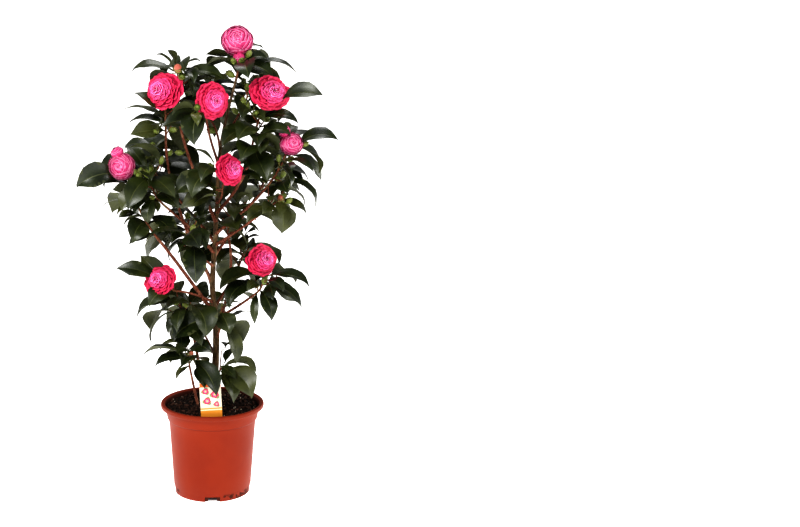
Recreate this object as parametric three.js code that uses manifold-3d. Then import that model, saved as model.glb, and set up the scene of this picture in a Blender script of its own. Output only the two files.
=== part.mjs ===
// A camellia in flower, grown as a small shrub, standing in a round plastic pot.
// Millimetres, +Z up. The origin is the middle of the face the pot stands on, and
// -Y is the side the shrub is first seen from.
import * as THREE from "three";
import { mergeVertices } from "three/addons/utils/BufferGeometryUtils.js";
import Module from "manifold-3d";

const wasm = await Module();
wasm.setup();

// Clearance kept between neighbouring solids
const GAP = 0.3;

// Pot, from the foot up
const POT_SIDES = 32;
const POT_HEIGHT = 172;
const LIP_RADIUS = 95;
const LIP_HEIGHT = 8;
const COLLAR_RADIUS = 86;
const COLLAR_Z = 159;
const STEP_Z = 143;
const BAND_RADIUS = 82;
const WAIST_Z = 127;
const WAIST_RADIUS = 80.5;
const HEEL_Z = 15;
const HEEL_RADIUS = 73;
const FOOT_RADIUS = 71;
const FOOT_WIDTH = 4;
const WALL = 1.9;
const FLOOR_Z = 8;
const FLOOR_THICKNESS = 3;
const BOSS_RADIUS = 20;
const NOTCH_WIDTH = 28;
const NOTCH_HEIGHT = 9.5;
const DRAIN_RADIUS = 5;
const DRAIN_OFFSET = 48;

// Compost
const SOIL_EDGE_Z = 157;
const SOIL_RISE = 19;

// Care label pushed into the compost
const LABEL_WIDTH = 38.5;
const LABEL_THICKNESS = 1.2;
const LABEL_TOP_Z = 234;
const LABEL_SHOULDER_Z = 162;
const LABEL_POINT_Z = 142;
const LABEL_Y = -75;
const LABEL_LEAN = 3;
const LABEL_CORNER = 5;

// Trunk: height, x, y, radius
const TRUNK_SIDES = 8;
const TRUNK = [
  [146, 0, 2, 8.2],
  [168, 0, 2, 9.4],
  [184, 1, 1, 7.2],
  [255, 6, -1, 6.3],
  [319, 6, -2, 5.8],
  [391, 0, 0, 4.9],
  [470, 4, 2, 4.3],
  [541, 8, 3, 3.7],
  [628, 12, 1, 3.1],
  [700, 24, -2, 2.7],
  [772, 42, -5, 2.2],
];

// Limbs: where each leaves the trunk (a height) or the compost (a point), the point it
// passes half-way, its tip, and its radius at both ends
const LIMB_SIDES = 5;
const LIMB_STEPS = 3;
const LIMBS = {
  bough_crown_right: [652, [38, 16, 690], [52, 24, 712], 2.1, 1.6],
  bough_top_front: [618, [-3, -24, 664], [-10, -43, 702], 2.3, 1.8],
  bough_top_left: [512, [-42, -8, 632], [-60, -15, 716], 3.0, 1.9],
  bough_upper_left: [400, [-62, 6, 540], [-82, -18, 664], 3.2, 2.0],
  bough_top_right: [528, [50, -12, 588], [69, -21, 646], 3.0, 2.1],
  bough_front: [546, [15, -20, 560], [17, -36, 573], 2.1, 1.7],
  bough_mid_left: [455, [-42, -14, 505], [-82, -22, 543], 3.0, 2.0],
  bough_far_left: [338, [-54, -8, 424], [-97, -22, 485], 3.6, 2.4],
  bough_low_left: [362, [-32, -30, 384], [-62, -44, 394], 2.4, 1.8],
  bough_far_right: [490, [62, -8, 540], [103, -18, 588], 2.9, 2.0],
  bough_mid_right: [468, [55, -24, 508], [90, -34, 538], 2.5, 1.8],
  bough_low_right: [330, [46, -17, 359], [79, -32, 387], 2.7, 1.9],
  bough_inner_right: [308, [31, 16, 395], [30, 22, 474], 3.0, 2.0],
  bough_inner_left: [430, [-13, -24, 446], [-24, -40, 460], 2.2, 1.7],
  bough_waist_right: [290, [12, -12, 310], [16, -22, 325], 2.2, 1.7],
  bough_foot_right: [214, [9, -13, 225], [12, -22, 234], 2.1, 1.7],
  bough_back_top: [596, [12, 34, 650], [-4, 56, 690], 2.4, 1.8],
  bough_back_left: [474, [-42, 46, 522], [-82, 74, 560], 2.8, 1.9],
  bough_back_right: [448, [46, 44, 500], [80, 72, 545], 2.8, 1.9],
  bough_back_mid: [384, [-14, 40, 420], [-32, 70, 450], 2.7, 1.9],
  bough_back_low: [352, [28, 40, 382], [46, 66, 408], 2.7, 1.9],
  bough_back_foot: [258, [-8, 26, 280], [-18, 42, 296], 2.3, 1.8],
  stem_left: [[-19, 10, 158], [-25, 6, 240], [-38, -6, 314], 3.6, 2.2],
  stem_low: [[-24, -18, 158], [-35, -32, 216], [-41, -40, 250], 2.6, 1.8],
};

// Leaf blades
const LEAF_THICKNESS = 2.2;
const LEAF_CUTS = [[0.3, 0.46], [0.67, 0.46]];
const LEAF_ROOT = 0.4;
const STALK_SHARE = 0.08;
const STALK_WIDTH = 2.6;
const LEAF_LENGTH = [68, 92];
const LEAF_SHAPE = 0.49;
const LEAF_REACH = 86;

// Twigs and buds
const TWIG_RADIUS = 1.3;
const TWIG_SIDES = 3;
const STEM_SIDES = 4;
const STEM_STEPS = 4;
const TURN = 137.5;
const BUD_LENGTH = 15;
const BUD_RADIUS = 4.8;
const TRIES = 14;
const AIR = 4.2;

// Wood that shows between the leaves from the front, a little above: heights on the trunk,
// shares of a bough's length, and how far the seeded leaves keep out of its line of sight
const SHOWN = {
  trunk: [232, 770],
  bough_top_right: [0.05, 0.5],
  bough_top_left: [0.4, 0.8],
  bough_upper_left: [0.75, 1],
  bough_far_left: [0.25, 1],
  bough_mid_left: [0.5, 1],
  bough_low_right: [0.4, 1],
  bough_far_right: [0.6, 1],
};
const SHOWN_MARGIN = 6;
const SIGHT_FALL = 0.2;

// Sprays, one at the tip of each limb. end: where its stem ends; bloom: radius, the way it
// faces and whether it is still a ball; lead: leaves set by eye, each by its place along
// the stem, its tip, width, droop and roll; the rest grow from the seed.
const SPRAYS = {
  spray_leader: {
    end: [42, 4, 834], seed: 48, twigs: 4, leaves: 5, buds: 3, spread: 100,
    bloom: { radius: 27, face: [0.1, -0.9, 0.35], ball: true },
    lead: [
      [0.5, 107, -24, 780, 38, 40, 50],
      [0.85, 77, 14, 833, 17, 80, 0],
      [0.35, 151, -15, 786, 20, 65, 20],
    ],
  },
  spray_top_left: {
    end: [-57, -25, 788], seed: 100, twigs: 5, leaves: 4, buds: 3, spread: 104,
    lead: [
      [0.82, 22, -40, 775, 30, 74, 18],
      [0.9, -144, -30, 790, 28, 62, -22],
    ],
  },
  spray_top_front: {
    end: [-1, -62, 740], seed: 61, twigs: 5, leaves: 5, buds: 2, spread: 100,
    bloom: { radius: 29, face: [0.35, -0.92, 0.12], ball: false },
    lead: [[0.1, -88, -80, 697, 38, 30, -45]],
  },
  spray_upper_left: {
    end: [-83, -38, 753], seed: 51, twigs: 4, leaves: 5, buds: 1, spread: 106,
    bloom: { radius: 32, face: [-0.42, -0.88, 0.2], ball: false },
    lead: [
      [0.6, -138, -18, 747, 27, 40, -35],
      [0.5, -156, -40, 723, 25, 45, -15],
      [0.36, -149, -14, 697, 23, 40, -20],
      [0.2, -143, -50, 677, 34, 45, -45],
    ],
  },
  spray_top_right: {
    end: [99, -34, 750], seed: 81, twigs: 4, leaves: 4, buds: 4, spread: 108,
    bloom: { radius: 34, face: [0.34, -0.9, 0.26], ball: false },
    lead: [
      [0.8, 193, -60, 752, 35, 55, 38],
      [0.6, 154, -50, 703, 27, 70, 30],
      [0.3, 16, -75, 660, 32, 78, -30],
      [0.04, 96, -92, 603, 44, 30, 15],
    ],
  },
  spray_crown_right: {
    end: [63, 12, 752], seed: 63, twigs: 4, leaves: 5, buds: 3, spread: 100, lead: [],
  },
  spray_front: {
    end: [30, -79, 621], seed: 42, twigs: 4, leaves: 5, buds: 1, spread: 100,
    bloom: { radius: 26, face: [0.4, -0.9, 0.1], ball: false },
    lead: [[0.05, -56, -86, 553, 31, 45, -40]],
  },
  spray_far_right: {
    end: [137, -15, 658], seed: 90, twigs: 4, leaves: 4, buds: 3, spread: 108,
    bloom: { radius: 21, face: [0.2, -0.95, 0.15], ball: true },
    lead: [
      [0.85, 224, -35, 669, 36, 88, 28],
      [0.6, 179, -60, 614, 17, 60, 10],
      [0.12, 190, -45, 549, 23, 80, 18],
    ],
  },
  spray_mid_right: {
    end: [122, -44, 562], seed: 89, twigs: 4, leaves: 5, buds: 2, spread: 104,
    lead: [
      [0.95, 171, -50, 536, 25, 60, 25],
      [0.9, 123, -64, 503, 42, 34, 0],
      [0.3, 59, -72, 526, 25, 50, -30],
    ],
  },
  spray_mid_left: {
    end: [-112, -46, 604], seed: 37, twigs: 5, leaves: 5, buds: 3, spread: 112,
    lead: [
      [0.95, -146, -92, 551, 36, 45, -38],
      [0.85, -156, 4, 654, 25, 60, -20],
    ],
  },
  spray_far_left: {
    end: [-155, -24, 617], seed: 39, twigs: 3, leaves: 4, buds: 2, spread: 106,
    bloom: { radius: 23, face: [-0.3, -0.94, 0.1], ball: true },
    lead: [
      [0.9, -238, -50, 583, 41, 62, -55],
      [0.3, -138, -74, 489, 38, 50, -40],
      [0.06, -148, -46, 481, 25, 35, -30],
    ],
  },
  spray_low_left: {
    end: [-91, -50, 415], seed: 28, twigs: 4, leaves: 4, buds: 1, spread: 104,
    bloom: { radius: 27, face: [-0.4, -0.85, 0.34], ball: false },
    lead: [
      [0.8, -171, -48, 437, 30, 42, -40],
      [0.6, -130, -16, 454, 34, 25, -50],
      [0.2, -112, -80, 376, 34, 60, -30],
    ],
  },
  spray_low_right: {
    end: [88, -44, 449], seed: 27, twigs: 3, leaves: 4, buds: 2, spread: 106,
    bloom: { radius: 29, face: [0.32, -0.88, 0.34], ball: false },
    lead: [
      [0.62, 177, -70, 410, 26, 55, 28],
      [0.42, 162, -82, 371, 26, 62, 25],
      [0.15, 106, -76, 346, 28, 50, 20],
      [0.03, 76, -60, 334, 15, 60, 0],
    ],
  },
  spray_inner_right: {
    end: [38, 20, 540], seed: 12, twigs: 5, leaves: 5, buds: 1, spread: 108, lead: [],
  },
  spray_inner_left: {
    end: [-36, -62, 508], seed: 9, twigs: 6, leaves: 5, buds: 1, spread: 108, lead: [],
  },
  spray_waist_right: {
    end: [14, -32, 352], seed: 128, twigs: 3, leaves: 3, buds: 0, spread: 100,
    lead: [
      [0.4, 44, -62, 259, 26, 45, 10],
      [1, 31, -68, 321, 36, 30, 20],
    ],
  },
  spray_waist_left: {
    limb: "stem_left",
    end: [-64, -34, 370], seed: 127, twigs: 4, leaves: 4, buds: 1, spread: 100, lead: [],
  },
  spray_foot_left: {
    limb: "stem_low",
    end: [-42, -44, 274], seed: 93, twigs: 2, leaves: 3, buds: 1, spread: 100,
    lead: [
      [0.85, -108, -54, 257, 26, 60, -25],
      [0.15, -66, -66, 236, 13, 50, 0],
      [0.95, 8, -92, 211, 36, 66, 20],
    ],
  },
  spray_foot_right: {
    end: [17, -32, 247], seed: 100, twigs: 1, leaves: 2, buds: 0, spread: 100,
    lead: [[0.95, 72, -84, 205, 46, 42, 24]],
  },
  spray_back_top: {
    end: [-14, 74, 738], seed: 6, twigs: 5, leaves: 4, buds: 2, spread: 112, lead: [],
  },
  spray_back_left: {
    end: [-116, 92, 612], seed: 83, twigs: 5, leaves: 5, buds: 2, spread: 122, lead: [],
  },
  spray_back_right: {
    end: [106, 92, 602], seed: 30, twigs: 5, leaves: 5, buds: 2, spread: 122, lead: [],
  },
  spray_back_mid: {
    end: [-46, 98, 500], seed: 16, twigs: 5, leaves: 4, buds: 1, spread: 114, lead: [],
  },
  spray_back_low: {
    end: [60, 88, 452], seed: 19, twigs: 5, leaves: 4, buds: 1, spread: 112, lead: [],
  },
  spray_back_foot: {
    end: [-30, 58, 336], seed: 49, twigs: 3, leaves: 4, buds: 0, spread: 100, lead: [],
  },
};

// Vectors
const DEG = Math.PI / 180;
const add = (a, b, k = 1) => [a[0] + b[0] * k, a[1] + b[1] * k, a[2] + b[2] * k];
const sub = (a, b) => add(a, b, -1);
const times = (a, k) => [a[0] * k, a[1] * k, a[2] * k];
const dot = (a, b) => a[0] * b[0] + a[1] * b[1] + a[2] * b[2];
const cross = (a, b) => [
  a[1] * b[2] - a[2] * b[1],
  a[2] * b[0] - a[0] * b[2],
  a[0] * b[1] - a[1] * b[0],
];
const size = (a) => Math.sqrt(dot(a, a));
const unit = (a) => times(a, 1 / size(a));

// Two directions square to a line
function square(t) {
  const u = unit(cross(Math.abs(t[2]) > 0.9 ? [0, 1, 0] : [0, 0, 1], t));
  return [u, cross(t, u)];
}

// Evenly spread numbers from a seed
function stream(seed) {
  let a = seed >>> 0;
  return () => {
    a = (a + 0x6d2b79f5) >>> 0;
    let t = Math.imul(a ^ (a >>> 15), a | 1);
    t = (t ^ (t + Math.imul(t ^ (t >>> 7), t | 61))) >>> 0;
    return ((t ^ (t >>> 14)) >>> 0) / 4294967296;
  };
}

// Trunk centre and radius at a height, smooth through the table
function slope(i, k) {
  const a = TRUNK[Math.max(i - 1, 0)];
  const b = TRUNK[Math.min(i + 1, TRUNK.length - 1)];
  return (b[k] - a[k]) / (b[0] - a[0]);
}

function trunkAt(z) {
  let i = 0;
  while (i < TRUNK.length - 2 && z > TRUNK[i + 1][0]) i += 1;
  const h = TRUNK[i + 1][0] - TRUNK[i][0];
  const t = (z - TRUNK[i][0]) / h;
  const value = (k) => {
    const a = TRUNK[i][k];
    const b = TRUNK[i + 1][k];
    const bend = (b - a) * t * t * (3 - 2 * t);
    return a + bend + h * t * (1 - t) * ((1 - t) * slope(i, k) - t * slope(i + 1, k));
  };
  return { point: [value(1), value(2), z], radius: value(3) };
}

// A limb or twig: a bend drawn with straight steps, thinning from one end to the other
function arc(from, control, to, thick, thin, steps) {
  const bend = (t) => {
    const a = times(from, (1 - t) * (1 - t));
    return add(add(a, control, 2 * t * (1 - t)), to, t * t);
  };
  const at = (t) => {
    const k = Math.min(Math.floor(t * steps), steps - 1);
    const f = t * steps - k;
    return add(times(bend(k / steps), 1 - f), bend((k + 1) / steps), f);
  };
  const along = (t) => {
    return unit(add(times(sub(control, from), 1 - t), sub(to, control), t));
  };
  const radius = (t) => thick + (thin - thick) * t;
  return { at, along, radius, steps, length: size(sub(to, from)) };
}

function limbArc([root, via, tip, thick, thin]) {
  const from = Array.isArray(root) ? root : trunkAt(root).point;
  const control = sub(times(via, 2), times(add(from, tip), 0.5));
  return arc(from, control, tip, thick, thin, LIMB_STEPS);
}

// Leaf: its spine is part of a circle in an upright plane, and the blade rolls about it
function spine(leaf, s) {
  const { base, heading, pitch, droop, roll, length } = leaf;
  const angle = pitch - droop * s;
  const out = (length * (Math.sin(pitch) - Math.sin(angle))) / droop;
  const rise = (length * (Math.cos(angle) - Math.cos(pitch))) / droop;
  const h = [Math.cos(heading), Math.sin(heading), 0];
  const across = [-h[1], h[0], 0];
  const over = add(times(h, -Math.sin(angle)), [0, 0, Math.cos(angle)]);
  const side = add(times(across, Math.cos(roll)), over, Math.sin(roll));
  const face = add(times(over, Math.cos(roll)), across, -Math.sin(roll));
  return { point: add(add(base, h, out), [0, 0, rise]), side, face };
}

function halfWidth(leaf, s) {
  const t = Math.max(0, (s - STALK_SHARE) / (1 - STALK_SHARE));
  const blade = Math.sin(Math.PI * t ** 0.85) ** 0.9;
  return Math.max(leaf.width * 0.5 * blade, s < 0.5 ? STALK_WIDTH / 2 : 0);
}

function leafTo(base, tip, width, droop, roll) {
  const d = sub(tip, base);
  const chord = size(d);
  return {
    base,
    heading: Math.atan2(d[1], d[0]),
    pitch: Math.asin(d[2] / chord) + droop / 2,
    droop,
    roll,
    length: (chord * droop * 0.5) / Math.sin(droop * 0.5),
    width,
  };
}

// Balls that stand for everything already grown, so nothing new runs into it
const taken = [];

function isFree(points, margin) {
  return points.every((p) => taken.every((b) => size(sub(p, b.point)) > b.radius + margin));
}

function take(points, radius) {
  for (const point of points) taken.push({ point, radius });
}

const shown = [];

function hides(points) {
  return points.some((p) => shown.some((q) => {
    const near = q[1] - p[1];
    const off = Math.max(Math.abs(q[0] - p[0]), Math.abs(q[2] + near * SIGHT_FALL - p[2]));
    return near > 0 && off < SHOWN_MARGIN;
  }));
}

function clearOfPot(p) {
  return p[2] > 190 || (p[2] > 120 && Math.hypot(p[0], p[1]) > LIP_RADIUS + 6);
}

function limbPoints(path, from = 0) {
  const n = Math.ceil(path.length / 5);
  const all = [];
  for (let i = 0; i <= n; i += 1) all.push(path.at(from + ((1 - from) * i) / n));
  return all;
}

function leafPoints(leaf) {
  const all = [];
  for (const s of [0.2, 0.31, 0.42, 0.53, 0.64, 0.75, 0.86, 0.95]) {
    const { point, side } = spine(leaf, s);
    const w = halfWidth(leaf, s);
    for (const k of [-0.92, -0.46, 0, 0.46, 0.92]) all.push(add(point, side, w * k));
  }
  all.push(spine(leaf, 1).point);
  return all;
}

// What every spray has before its seed is used: stem, bloom, and the leaves set by eye
function startSpray(name, limb) {
  const plan = SPRAYS[name];
  const from = add(limb.at(1), limb.along(1), GAP);
  const reach = size(sub(plan.end, from));
  const control = add(from, limb.along(1), reach * 0.45);
  const stem = arc(from, control, plan.end, limb.radius(1), TWIG_RADIUS, STEM_STEPS);
  const spray = { name, plan, stem, twigs: [], leaves: [], buds: [] };
  take(limbPoints(stem), TWIG_RADIUS);
  if (plan.bloom) {
    const face = unit(plan.bloom.face);
    const { radius, ball } = plan.bloom;
    const middle = add(plan.end, face, radius * (ball ? 0.5 : 0.25));
    spray.bloom = { middle, face, radius, ball };
    take([add(middle, face, ball ? 0 : -radius * 0.15)], radius * 0.9);
  }
  for (const [f, x, y, z, width, droop, roll] of plan.lead) {
    const tip = [x, y, z];
    const far = size(sub(tip, stem.at(f)));
    let base = stem.at(f);
    if (far > LEAF_REACH) {
      base = add(add(base, sub(tip, base), 1 - (LEAF_REACH - 8) / far), [0, 0, 5]);
      const bend = times(add(stem.at(f), base), 0.5);
      const past = add(base, unit(sub(base, bend)), 2);
      spray.twigs.push(arc(stem.at(f), bend, past, TWIG_RADIUS, TWIG_RADIUS, 1));
      take(limbPoints(spray.twigs.at(-1)), TWIG_RADIUS);
    }
    const leaf = leafTo(base, tip, width, droop * DEG, roll * DEG);
    spray.leaves.push(leaf);
    take(leafPoints(leaf), AIR);
  }
  return spray;
}

// The rest of a spray: twigs turn about the stem, leaves turn about stem and twigs, and
// one that would leave the spray's room or touch something else is drawn again or left out
function growSpray(spray) {
  const { plan, stem } = spray;
  const random = stream(plan.seed);
  const between = (a, b) => a + (b - a) * random();
  const centre = times(add(stem.at(0), stem.at(1)), 0.5);
  const inRoom = (p) => size(sub(p, centre)) < plan.spread && clearOfPot(p);
  const phase = between(0, 360);

  const around = (path, f, turn) => {
    const [u, v] = square(path.along(f));
    return add(times(u, Math.cos(turn * DEG)), v, Math.sin(turn * DEG));
  };

  for (let i = 0; i < plan.twigs; i += 1) {
    for (let n = 0; n < TRIES; n += 1) {
      const f = 0.08 + (0.82 * (i + random())) / plan.twigs;
      const out = around(stem, f, phase + i * TURN + between(-35, 35));
      const way = unit(add(add(out, stem.along(f), 0.7), [0, 0, 0.25]));
      const from = stem.at(f);
      const long = between(20, 40);
      const to = add(from, way, long);
      const twig = arc(from, add(from, way, long * 0.5), to, TWIG_RADIUS, TWIG_RADIUS * 0.8, 1);
      const points = limbPoints(twig, 0.45);
      if (inRoom(to) && isFree(points, 4)) {
        spray.twigs.push(twig);
        take(points, TWIG_RADIUS);
        break;
      }
    }
  }

  for (const path of [stem, ...spray.twigs]) {
    const most = path === stem ? 5 : plan.leaves;
    const turn = between(0, 360);
    for (let i = 0; i < most; i += 1) {
      for (let n = 0; n < TRIES; n += 1) {
        const f = 0.97 - (path === stem ? 0.92 : 0.58) * (i / most);
        const out = around(path, f, turn + i * TURN + between(-40, 40));
        const way = unit(add(out, path.along(f), 0.55));
        const length = between(...LEAF_LENGTH) * (n > 5 ? 0.72 : 1);
        const leaf = {
          base: path.at(f),
          heading: Math.atan2(way[1], way[0]),
          pitch: Math.asin(way[2]) * 0.5 + between(-2, 38) * DEG,
          droop: between(42, 102) * DEG,
          roll: between(-40, 40) * DEG,
          length,
          width: length * LEAF_SHAPE * between(0.85, 1.12),
        };
        const points = leafPoints(leaf);
        if (points.every(inRoom) && !hides(points) && isFree(points, AIR)) {
          spray.leaves.push(leaf);
          take(points, AIR);
          break;
        }
      }
    }
  }

  const tips = [...spray.twigs].reverse();
  if (!spray.bloom) tips.unshift(stem);
  for (let i = 0; i < plan.buds; i += 1) {
    const path = tips[i % tips.length] ?? stem;
    for (let n = 0; n < TRIES; n += 1) {
      const out = around(path, 1, between(0, 360));
      const way = unit(add(add(path.along(1), out, i < tips.length ? 0.3 : 0.9), [0, 0, 0.3]));
      const long = BUD_LENGTH * between(0.75, 1.05);
      const from = path.at(0.93);
      if (isFree([add(from, way, long * 0.75)], BUD_RADIUS)) {
        spray.buds.push({ from, way, length: long, radius: (BUD_RADIUS * long) / BUD_LENGTH });
        take([add(from, way, long * 0.7)], BUD_RADIUS);
        break;
      }
    }
  }
}

// A closed geometry as a solid that can be joined and cut
function solidOf(geometry) {
  const bare = new THREE.BufferGeometry();
  bare.setAttribute("position", geometry.getAttribute("position"));
  bare.setIndex(geometry.index);
  const merged = mergeVertices(bare, 1e-4);
  const index = merged.index.array;
  const faces = [];
  for (let i = 0; i < index.length; i += 3) {
    const [a, b, c] = [index[i], index[i + 1], index[i + 2]];
    if (a !== b && b !== c && c !== a) faces.push(a, b, c);
  }
  return new wasm.Manifold(new wasm.Mesh({
    numProp: 3,
    vertProperties: merged.attributes.position.array,
    triVerts: new Uint32Array(faces),
  }));
}

// Closed solids from rings of points; a ring of one point closes an end
function skin(rings) {
  const points = [];
  const faces = [];
  const first = [];
  for (const ring of rings) {
    first.push(points.length);
    points.push(...ring);
  }
  for (let i = 0; i + 1 < rings.length; i += 1) {
    const a = first[i];
    const b = first[i + 1];
    const n = Math.max(rings[i].length, rings[i + 1].length);
    const one = (start, ring, j) => start + (ring.length === 1 ? 0 : j % n);
    for (let j = 0; j < n; j += 1) {
      const a0 = one(a, rings[i], j);
      const a1 = one(a, rings[i], j + 1);
      const b0 = one(b, rings[i + 1], j);
      const b1 = one(b, rings[i + 1], j + 1);
      if (a0 !== a1) faces.push([a0, a1, b1]);
      if (b0 !== b1) faces.push([a0, b1, b0]);
    }
  }
  const last = rings.length - 1;
  for (let j = 1; j + 1 < rings[0].length; j += 1) faces.push([0, j + 1, j]);
  const end = first[last];
  for (let j = 1; j + 1 < rings[last].length; j += 1) faces.push([end, end + j, end + j + 1]);
  const geometry = new THREE.BufferGeometry();
  geometry.setAttribute("position", new THREE.Float32BufferAttribute(points.flat(), 3));
  geometry.setIndex(faces.flat());
  return solidOf(geometry);
}

function ringAt(centre, u, v, radii) {
  const step = (2 * Math.PI) / radii.length;
  return radii.map((r, j) => {
    return add(add(centre, u, r * Math.cos(j * step)), v, r * Math.sin(j * step));
  });
}

// A profile of radii and heights turned about the pot's axis
function turned(profile) {
  const points = profile.map(([r, z]) => new THREE.Vector2(r, z));
  return solidOf(new THREE.LatheGeometry(points, POT_SIDES).rotateX(Math.PI / 2));
}

function limbSolid(path, sides, grow = 0) {
  const { steps } = path;
  const rings = [];
  const full = 1 / Math.cos(Math.PI / sides);
  for (let i = 0; i <= steps; i += 1) {
    const [u, v] = square(path.along(i / steps));
    const r = path.radius(i / steps) + grow * full;
    rings.push(ringAt(path.at(i / steps), u, v, Array(sides).fill(r)));
  }
  return skin(rings);
}

function trunkSolid(grow = 0) {
  const rings = [];
  const full = 1 / Math.cos(Math.PI / TRUNK_SIDES);
  for (let i = 0; i + 1 < TRUNK.length; i += 1) {
    for (const t of i < 3 ? [0] : [0, 0.5]) {
      const z = TRUNK[i][0] + (TRUNK[i + 1][0] - TRUNK[i][0]) * t;
      const { point, radius } = trunkAt(z);
      const flare = i < 2 ? 0.08 : 0;
      const radii = Array.from({ length: TRUNK_SIDES }, (_, j) => {
        return radius * (1 + (j % 2 ? -flare : flare)) + grow * full;
      });
      rings.push(ringAt(point, [1, 0, 0], [0, 1, 0], radii));
    }
  }
  const top = trunkAt(TRUNK.at(-1)[0]);
  const radii = Array(TRUNK_SIDES).fill(top.radius + grow * full);
  rings.push(ringAt(top.point, [1, 0, 0], [0, 1, 0], radii));
  return skin(rings);
}

// A leaf is flat above and keeled below along its rib
function leafSolid(leaf) {
  const rings = LEAF_CUTS.map(([s, share]) => {
    const { point, side, face } = spine(leaf, s);
    const w = leaf.width * share;
    return [add(point, side, w), add(point, side, -w), add(point, face, -LEAF_THICKNESS)];
  });
  const root = spine(leaf, -LEAF_ROOT / leaf.length).point;
  return skin([[root], ...rings, [spine(leaf, 1).point]]);
}

function budSolid({ from, way, length, radius }) {
  const [u, v] = square(way);
  const ring = (f, r) => ringAt(add(from, way, length * f), u, v, Array(4).fill(radius * r));
  return skin([[from], ring(0.35, 0.85), ring(0.7, 0.85), [add(from, way, length)]]);
}

// A bloom from its back to its heart, its edge scalloped by the outer petals
const OPEN_BLOOM = [[0.42, -0.36, 0], [1, -0.1, 0.07], [0.84, 0.06, 0], [0.6, 0.26, 0.05], [0.28, 0.42, 0]];
const BALL_BLOOM = [[0.5, -0.72, 0], [0.98, -0.15, 0.05], [0.92, 0.35, 0], [0.55, 0.75, 0.06]];

function bloomSolid({ middle, face, radius, ball }) {
  const [u, v] = square(face);
  const rows = ball ? BALL_BLOOM : OPEN_BLOOM;
  const rings = rows.map(([r, deep, wave]) => {
    const radii = Array.from({ length: 12 }, (_, j) => radius * (r + (j % 2 ? -wave : wave)));
    return ringAt(add(middle, face, radius * deep), u, v, radii);
  });
  rings.push([add(middle, face, radius * (ball ? 0.86 : 0.44))]);
  return skin(rings);
}

function spraySolid(spray) {
  let solid = limbSolid(spray.stem, STEM_SIDES);
  for (const twig of spray.twigs) solid = solid.add(limbSolid(twig, TWIG_SIDES));
  for (const leaf of spray.leaves) solid = solid.add(leafSolid(leaf));
  for (const bud of spray.buds) solid = solid.add(budSolid(bud));
  if (spray.bloom) solid = solid.add(bloomSolid(spray.bloom));
  return solid;
}

// Only the largest piece of a cut solid is kept
function largest(solid) {
  return solid.decompose().sort((a, b) => b.volume() - a.volume())[0];
}

function potSolid() {
  const lip = POT_HEIGHT - LIP_HEIGHT;
  const ring = FOOT_RADIUS - FOOT_WIDTH;
  const floor = FLOOR_Z + FLOOR_THICKNESS;
  let pot = turned([
    [0, 0],
    [BOSS_RADIUS, 0],
    [BOSS_RADIUS + 1, FLOOR_Z],
    [ring, FLOOR_Z],
    [ring, 0],
    [FOOT_RADIUS, 0],
    [FOOT_RADIUS + 0.6, HEEL_Z - 2],
    [HEEL_RADIUS, HEEL_Z],
    [WAIST_RADIUS, WAIST_Z],
    [BAND_RADIUS, STEP_Z - 2],
    [BAND_RADIUS + 1.6, STEP_Z],
    [COLLAR_RADIUS, COLLAR_Z],
    [LIP_RADIUS - 1, lip],
    [LIP_RADIUS, lip + 4],
    [LIP_RADIUS - 2.4, POT_HEIGHT],
    [COLLAR_RADIUS + 1.5, POT_HEIGHT - 2],
    [COLLAR_RADIUS - WALL, COLLAR_Z],
    [WAIST_RADIUS - WALL, WAIST_Z],
    [FOOT_RADIUS - 0.4, floor],
    [0, floor],
  ]);
  for (let quarter = 0; quarter < 4; quarter += 1) {
    const turn = (quarter * Math.PI) / 2;
    const notch = new THREE.BoxGeometry(NOTCH_WIDTH, FOOT_WIDTH + 8, 2 * NOTCH_HEIGHT);
    notch.translate(0, -FOOT_RADIUS, 0).rotateZ(turn);
    const drain = new THREE.CylinderGeometry(DRAIN_RADIUS, DRAIN_RADIUS, 12, 10);
    drain.rotateX(Math.PI / 2).translate(0, -DRAIN_OFFSET, FLOOR_Z + 1).rotateZ(turn + Math.PI / 4);
    pot = pot.subtract(solidOf(notch)).subtract(solidOf(drain));
  }
  return pot;
}

function soilSolid() {
  const floor = FLOOR_Z + FLOOR_THICKNESS + GAP;
  const wall = (r) => r - WALL - GAP / Math.cos(Math.PI / POT_SIDES);
  const rise = (f) => SOIL_EDGE_Z + SOIL_RISE * f;
  return turned([
    [0, floor],
    [FOOT_RADIUS - 1, floor],
    [wall(WAIST_RADIUS), WAIST_Z],
    [wall(COLLAR_RADIUS) - 0.8, SOIL_EDGE_Z],
    [62, rise(0.25)],
    [30, rise(0.75)],
    [0, rise(1)],
  ]);
}

function labelSolid(grow = 0) {
  const w = LABEL_WIDTH / 2 + grow;
  const c = LABEL_CORNER;
  const high = LABEL_TOP_Z + grow;
  const outline = new THREE.Shape();
  outline.moveTo(0, LABEL_POINT_Z - grow);
  outline.lineTo(w * 0.5, LABEL_SHOULDER_Z - 16);
  outline.lineTo(w, LABEL_SHOULDER_Z);
  outline.absarc(w - c, high - c, c, 0, Math.PI / 2, false);
  outline.absarc(-w + c, high - c, c, Math.PI / 2, Math.PI, false);
  outline.lineTo(-w, LABEL_SHOULDER_Z);
  outline.lineTo(-w * 0.5, LABEL_SHOULDER_Z - 16);
  outline.closePath();
  const depth = LABEL_THICKNESS + 2 * grow;
  const card = new THREE.ExtrudeGeometry(outline, { depth, bevelEnabled: false, curveSegments: 4 });
  card.rotateX(Math.PI / 2).translate(0, LABEL_Y + depth / 2, 0);
  card.translate(0, 0, -LABEL_POINT_Z).rotateY(-LABEL_LEAN * DEG).translate(0, 0, LABEL_POINT_Z);
  return solidOf(card);
}

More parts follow.
